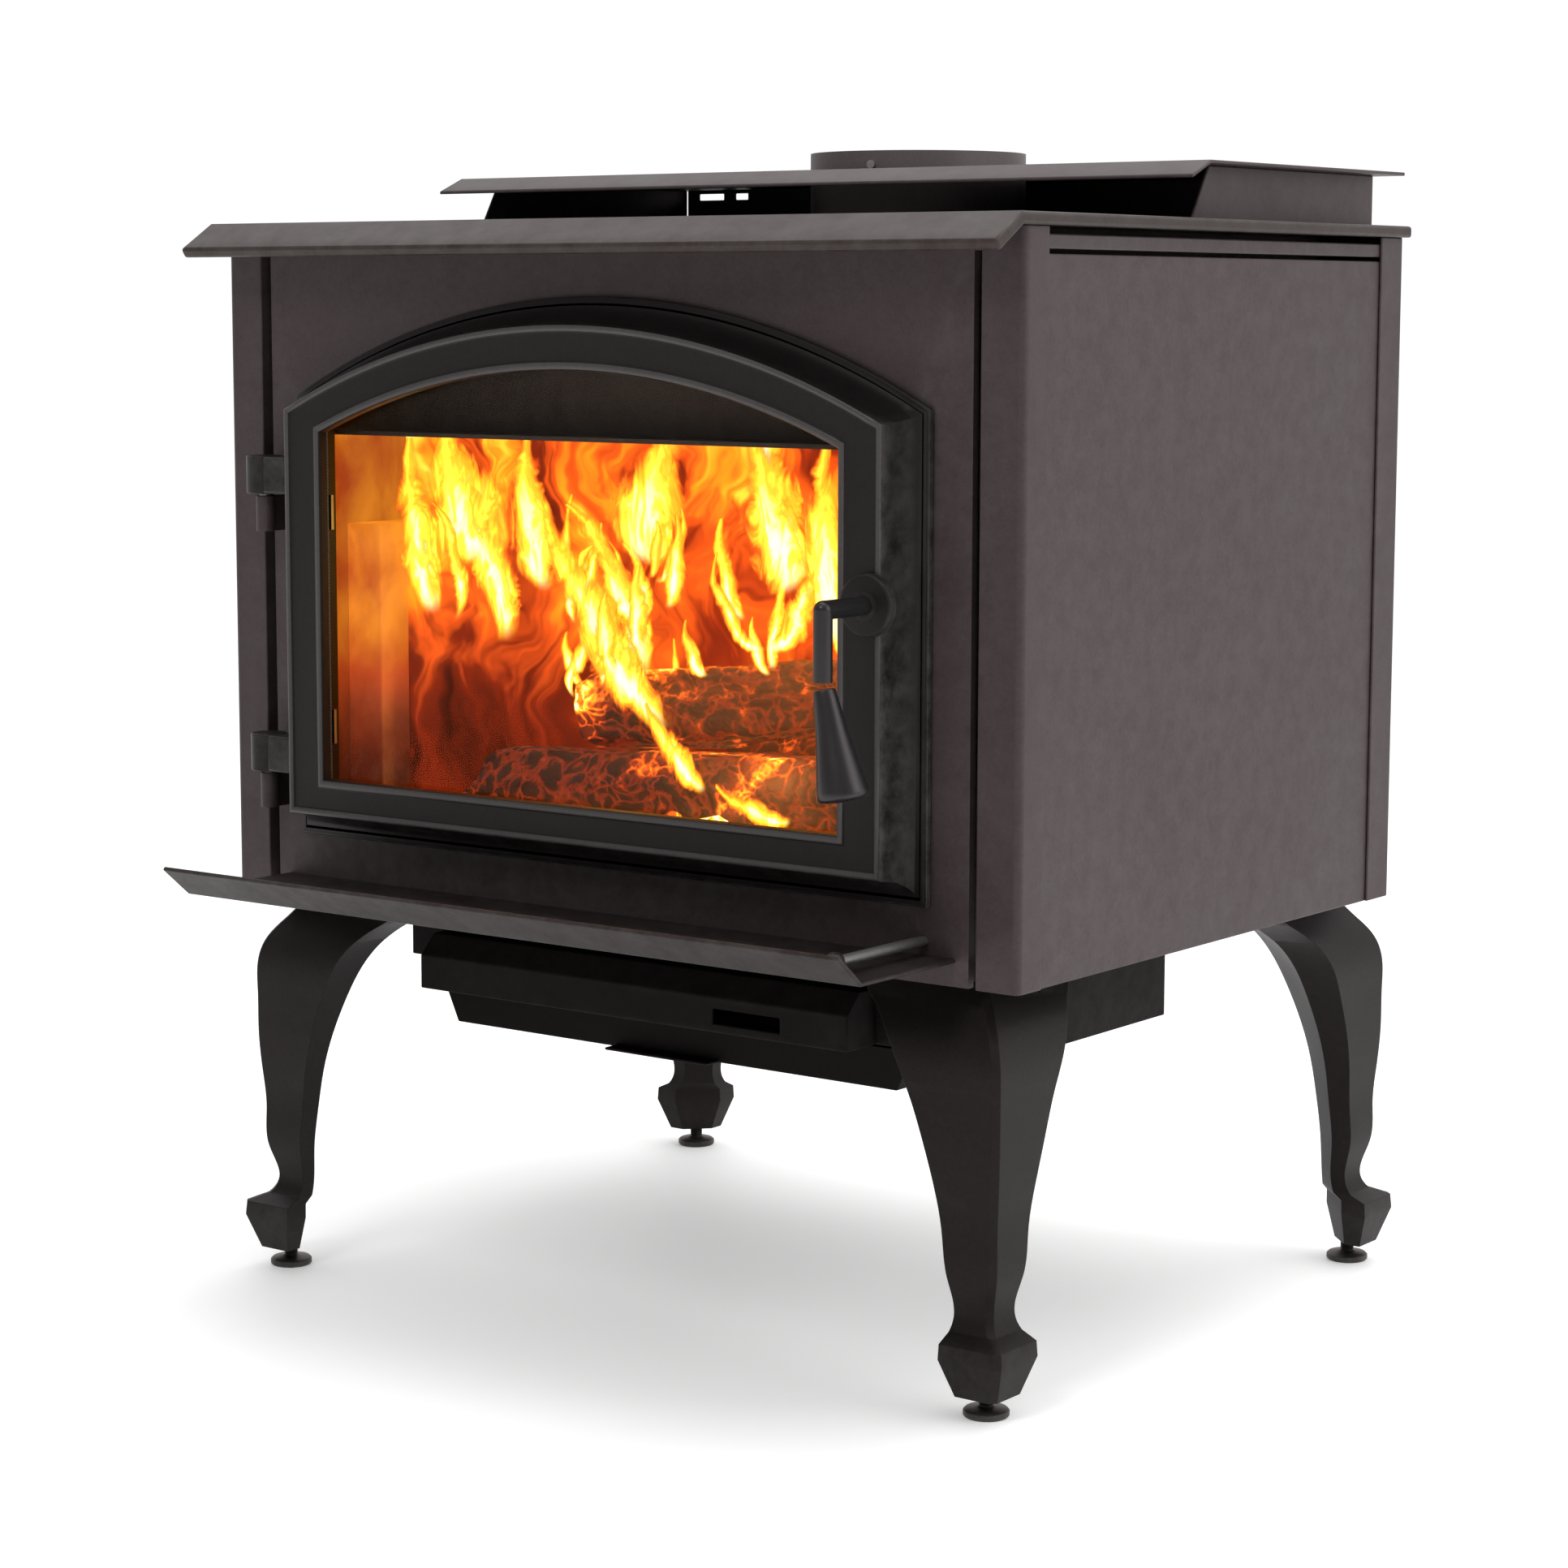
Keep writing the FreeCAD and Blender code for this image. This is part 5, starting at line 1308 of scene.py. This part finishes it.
def smooth_path(points: Sequence[Vector], count: int) -> list[Vector]:
    """Return evenly spaced points on a smooth curve through a few points.

    Args:
        points: Points that the curve passes.
        count: Number of steps.

    Returns:
        The curve's points.
    """
    found = []
    spans = len(points) - 1
    for index in range(count + 1):
        place = min(index / count * spans, spans - 1e-6)
        span = int(place)
        share = place - span
        before = points[max(span - 1, 0)]
        start = points[span]
        end = points[span + 1]
        after = points[min(span + 2, spans)]
        found.append(0.5 * (2 * start + (end - before) * share
                            + (2 * before - 5 * start + 4 * end - after) * share ** 2
                            + (3 * start - before - 3 * end + after) * share ** 3))
    return found


def map_sheet(shape: BMesh, line: Sequence[Vector]) -> None:
    """Give a curtain its UV map: metres along the line across, and height up.

    Args:
        shape: The curtain.
        line: Points of the line that it hangs on.
    """
    layer = shape.loops.layers.uv.new("Sheet")
    lengths = [0.0]
    for first, second in zip(line, line[1:]):
        lengths.append(lengths[-1] + (second - first).length)
    bottom = min(vert.co.z for vert in shape.verts)
    for face in shape.faces:
        for loop in face.loops:
            flat = Vector((loop.vert.co.x, loop.vert.co.y, 0))
            nearest = min(range(len(line)), key=lambda index: (line[index] - flat).length_squared)
            loop[layer].uv = (lengths[nearest], loop.vert.co.z - bottom)


TALL_FLAMES = (
    ((-0.170, -0.118, 0.520), (-0.205, -0.118, 0.612), 0.046, 0.006),
    ((-0.158, -0.108, 0.462), (-0.205, -0.112, 0.590), 0.022, -0.010),
    ((-0.036, -0.078, 0.404), (-0.152, -0.082, 0.572), 0.026, 0.012),
    ((-0.062, -0.070, 0.440), (-0.130, -0.075, 0.560), 0.018, -0.014),
    ((-0.058, -0.080, 0.458), (-0.060, -0.080, 0.520), 0.012, 0.004),
    ((-0.034, -0.080, 0.490), (-0.026, -0.080, 0.556), 0.011, -0.004),
    ((-0.060, -0.076, 0.520), (-0.030, -0.076, 0.612), 0.042, 0.008),
    ((0.070, -0.078, 0.505), (0.036, -0.078, 0.612), 0.034, -0.006),
    ((0.118, -0.082, 0.470), (0.104, -0.082, 0.612), 0.026, 0.008),
    ((0.054, -0.084, 0.466), (0.012, -0.084, 0.532), 0.009, 0.016),
    ((0.054, -0.082, 0.466), (0.092, -0.082, 0.545), 0.013, -0.016),
    ((0.008, -0.092, 0.366), (-0.048, -0.088, 0.424), 0.013, 0.004),
    ((0.085, -0.095, 0.352), (0.020, -0.095, 0.372), 0.010, 0.006),
    ((0.150, -0.060, 0.400), (0.170, -0.060, 0.560), 0.026, 0.012),
    ((-0.212, -0.126, 0.480), (-0.232, -0.128, 0.606), 0.024, 0.006),
    ((-0.188, -0.128, 0.478), (-0.214, -0.124, 0.560), 0.010, -0.012),
    ((-0.120, -0.110, 0.500), (-0.135, -0.110, 0.612), 0.026, 0.008),
)


@dataclass
class Fire:
    """Charred logs, ember bed and the flames."""

    shop: Paintshop
    seed: int = 7
    log_edge: float = 0.010
    coal_count: int = 130
    curtain_path: Sequence[Point] = (
        (-0.238, -0.125), (-0.165, 0.020), (-0.040, 0.125), (0.100, 0.180), (0.232, 0.196))
    curtain_levels: Point = (0.320, 0.634)
    spread: float = 1.25
    lick_count: int = 22

    def build(self) -> None:
        """Build the fire's pieces."""
        self.logs()
        self.embers()
        self.curtain()
        self.flames()

    def logs(self) -> None:
        """Give the logs a split, charred and cracked surface."""
        shape = merged_copy("fire_logs")
        low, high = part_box("fire_logs")
        bmesh.ops.triangulate(shape, faces=shape.faces)
        for _ in range(4):
            long_edges = [edge for edge in shape.edges if edge.calc_length() > self.log_edge]
            if not long_edges:
                break
            bmesh.ops.subdivide_edges(shape, edges=long_edges, cuts=1, use_grid_fill=True)
            bmesh.ops.triangulate(shape, faces=shape.faces)
        for _ in range(3):
            bmesh.ops.smooth_vert(shape, verts=shape.verts, factor=0.5, use_axis_x=True, use_axis_y=True,
                                  use_axis_z=True)
        shape.normal_update()
        for vert in shape.verts:
            place = vert.co * 26.0
            bark = noise.fractal(Vector((place.x * 0.35, place.y, place.z)), 0.9, 2.1, 4)
            crack = noise.cell(Vector((place.x * 0.5, place.y * 1.5, place.z * 1.5)))
            vert.co += vert.normal * (0.0035 * bark - 0.002 + 0.0015 * crack)
            for axis in range(3):
                vert.co[axis] = min(max(vert.co[axis], low[axis]), high[axis])
        finish_piece("charred_logs", shape, self.shop.charred, "stove", ["fire_logs"], crease=60)

    def embers(self) -> None:
        """Heap broken coals over the ember bed."""
        low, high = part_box("ember_bed")
        draw = random.Random(self.seed)
        shape = bmesh.new()
        middle = Matrix.Translation(((low.x + high.x) / 2, (low.y + high.y) / 2, 0))
        size = Matrix.Diagonal((high.x - low.x, high.y - low.y, 1, 1))
        bmesh.ops.create_grid(shape, x_segments=60, y_segments=42, size=0.5, matrix=middle @ size)
        for vert in shape.verts:
            rough = noise.fractal(vert.co * 38.0, 0.8, 2.2, 5)
            heap = noise.noise(Vector((vert.co.x * 9.0, vert.co.y * 9.0, 3.0)))
            vert.co.z = high.z - 0.004 + 0.004 * heap + 0.005 * rough
        made = bmesh.ops.extrude_face_region(shape, geom=shape.faces[:])
        for vert in (item for item in made["geom"] if isinstance(item, BMVert)):
            vert.co.z = low.z + 0.0002
        bmesh.ops.recalc_face_normals(shape, faces=shape.faces)
        for _ in range(self.coal_count):
            self.coal(shape, draw, low, high)
        finish_piece("ember_heap", shape, self.shop.ember, "stove", ["ember_bed"], crease=35)

    def coal(self, shape: BMesh, draw: random.Random, low: Vector, high: Vector) -> None:
        """Drop one broken coal somewhere on the bed between two corners.

        Args:
            shape: Mesh that takes the coal.
            draw: Source of the random draws.
            low: Lowest corner of the bed.
            high: Highest corner of the bed.
        """
        size = draw.uniform(0.008, 0.021)
        spot = Vector((draw.uniform(low.x + 0.02, high.x - 0.02), draw.uniform(low.y + 0.015, high.y - 0.02),
                       high.z + draw.uniform(-0.004, 0.010)))
        turn = Euler([draw.uniform(0, math.tau) for _ in range(3)]).to_matrix().to_4x4()
        form = Matrix.Diagonal((1.0, draw.uniform(0.6, 0.95), draw.uniform(0.45, 0.8), 1.0))
        coal = bmesh.ops.create_icosphere(shape, subdivisions=2, radius=size,
                                          matrix=Matrix.Translation(spot) @ turn @ form)
        shift = Vector([draw.uniform(0, 50) for _ in range(3)])
        for vert in coal["verts"]:
            away = vert.co - spot
            vert.co = spot + away * (1 + 0.35 * noise.noise(vert.co * 70.0 + shift))

    def curtain(self) -> None:
        """Hang the curtain of fire behind the logs as a thin curved sheet."""
        bottom, top = self.curtain_levels
        line = smooth_path([Vector((x, y, 0)) for x, y in self.curtain_path], 60)
        shape = bmesh.new()
        row = [shape.verts.new((spot.x, spot.y, bottom)) for spot in line]
        edges = [shape.edges.new(pair) for pair in zip(row, row[1:])]
        made = bmesh.ops.extrude_edge_only(shape, edges=edges)
        fresh = [item for item in made["geom"] if isinstance(item, BMVert)]
        bmesh.ops.translate(shape, verts=fresh, vec=(0, 0, top - bottom))
        bmesh.ops.recalc_face_normals(shape, faces=shape.faces)
        map_sheet(shape, line)
        bmesh.ops.solidify(shape, geom=shape.faces[:], thickness=2 * MM)
        finish_piece("fire_curtain", shape, self.shop.blaze, "stove", crease=60)

    def flames(self) -> None:
        """Stand tall flames and small licks in front of the curtain."""
        shape = bmesh.new()
        layer = shape.loops.layers.uv.new("Sheet")
        for root, tip, width, sway in TALL_FLAMES:
            Flame(Vector(root), Vector(tip), self.spread * width, sway).add_to(shape, layer)
        draw = random.Random(self.seed)
        for _ in range(self.lick_count):
            root = Vector((draw.uniform(-0.17, 0.17), draw.uniform(-0.085, -0.02), draw.uniform(0.38, 0.53)))
            tip = root + Vector((draw.uniform(-0.022, 0.022), 0, draw.uniform(0.035, 0.075)))
            Flame(root, tip, draw.uniform(0.007, 0.015), draw.uniform(-0.01, 0.01)).add_to(shape, layer)
        finish_piece("flames", shape, self.shop.tongue, "stove", crease=60)


# ------------------------------------------------------------------------------- studio


WHITE = (1.0, 1.0, 1.0)
SOFT_BOXES = (
    ("KeyRight", (3.6, 0.6, 2.0), (0.2, 0.0, 0.5), 2.4, 36.0),
    ("FrontFill", (0.3, -2.9, 3.0), (0.0, -0.2, 0.45), 1.0, 30.0),
    ("TopSoft", (0.2, 0.6, 3.6), (0.0, 0.0, 0.4), 3.0, 60.0),
)
FIRE_LAMPS = (
    ("FireGlow", (0.02, 0.02, 0.52), 0.10, 4.0),
    ("EmberGlow", (0.05, -0.08, 0.38), 0.06, 1.5),
)


@dataclass
class Studio:
    """Pale floor, soft lights, the fire's own light and the camera.

    Args:
        camera_at: Place of the camera.
        azimuth: The camera's turn to the right, in degrees.
        pitch: How far it looks down, in degrees.
        roll: Its roll, in degrees.
        lens: Focal length in millimetres on a 36 mm wide sensor.
        room_level: Light of the room before the stove.
        backdrop_level: Light of the backdrop behind it.
        ceiling_level: Light that the ceiling adds.
        floor_half: Half the floor's width.
        floor_lift: Light that the floor adds of its own.
    """

    camera_at: Sequence[float] = (1.5390, -2.0506, 0.6991)
    azimuth: float = 36.762
    pitch: float = 7.50
    roll: float = 0.123
    lens: float = 83.1
    room_level: float = 0.30
    backdrop_level: float = 1.05
    ceiling_level: float = 0.30
    floor_half: float = 45.0
    floor_lift: float = 0.20

    def build(self) -> None:
        """Build the studio."""
        self.floor()
        self.world()
        self.lights()
        self.firelight()
        self.camera()

    def floor(self) -> None:
        """Lay a plain pale floor."""
        shape = bmesh.new()
        bmesh.ops.create_grid(shape, x_segments=1, y_segments=1, size=self.floor_half)
        mesh = bpy.data.meshes.new("studio_floor")
        shape.to_mesh(mesh)
        shape.free()
        mesh.materials.append(PaleFloor(lift=self.floor_lift).build())
        floor = add_object("studio_floor", mesh)

    def world(self) -> None:
        """Light the room: a lit white backdrop behind the stove and a dimmer room before it."""
        world = bpy.data.worlds.new("SoftStudio")
        world.use_nodes = True
        graph = Graph(world.node_tree)
        way = graph.parts(graph.add("ShaderNodeTexCoord").outputs["Generated"])
        backdrop = graph.level(way["Y"], -0.45, 0.35, self.room_level, self.backdrop_level, smooth=True)
        ceiling = graph.level(way["Z"], 0.35, 0.95, 0.0, self.ceiling_level, smooth=True)
        graph.wire(world.node_tree.nodes["Background"],
                   {"Color": WHITE, "Strength": graph.plus(backdrop, ceiling)})
        bpy.context.scene.world = world
        bpy.context.scene.view_settings.view_transform = "Standard"

    def lights(self) -> None:
        """Hang soft boxes round the stove."""
        for name, place, aim, size, power in SOFT_BOXES:
            lamp = bpy.data.lights.new(name, "AREA")
            lamp.shape = "SQUARE"
            lamp.size = size
            lamp.energy = power
            item = add_object(name, lamp)
            item.location = place
            item.rotation_euler = (Vector(aim) - Vector(place)).to_track_quat("-Z", "Y").to_euler()

    def firelight(self) -> None:
        """Light the firebox from its flames."""
        for name, place, size, power in FIRE_LAMPS:
            lamp = bpy.data.lights.new(name, "POINT")
            lamp.shadow_soft_size = size
            lamp.energy = power
            lamp.color = (1.0, 0.34, 0.07)
            item = add_object(name, lamp)
            item.location = place
            item.visible_camera = False
            item.visible_transmission = False
            item.visible_glossy = False

    def camera(self) -> None:
        """Set the camera."""
        lens = bpy.data.cameras.new("Camera")
        lens.lens = self.lens
        lens.sensor_width = 36.0
        turn = math.radians(self.azimuth)
        tilt = math.radians(self.pitch)
        forward = Vector((-math.sin(turn) * math.cos(tilt), math.cos(turn) * math.cos(tilt), -math.sin(tilt)))
        aim = forward.to_track_quat("-Z", "Y").to_matrix() @ Matrix.Rotation(math.radians(self.roll), 3, "Z")
        item = add_object("Camera", lens)
        item.matrix_world = Matrix.Translation(self.camera_at) @ aim.to_4x4()
        bpy.context.scene.camera = item


def main() -> None:
    """Build every sub-assembly in order."""
    logging.basicConfig(level=logging.INFO, format="%(name)s: %(message)s")
    shop = Paintshop()
    for assembly in (Casing, Legs, Door, Hinges, Handle, AirControl, Firebox, Fire):
        assembly(shop).build()
    Studio().build()


if __name__ == "__main__":
    main()
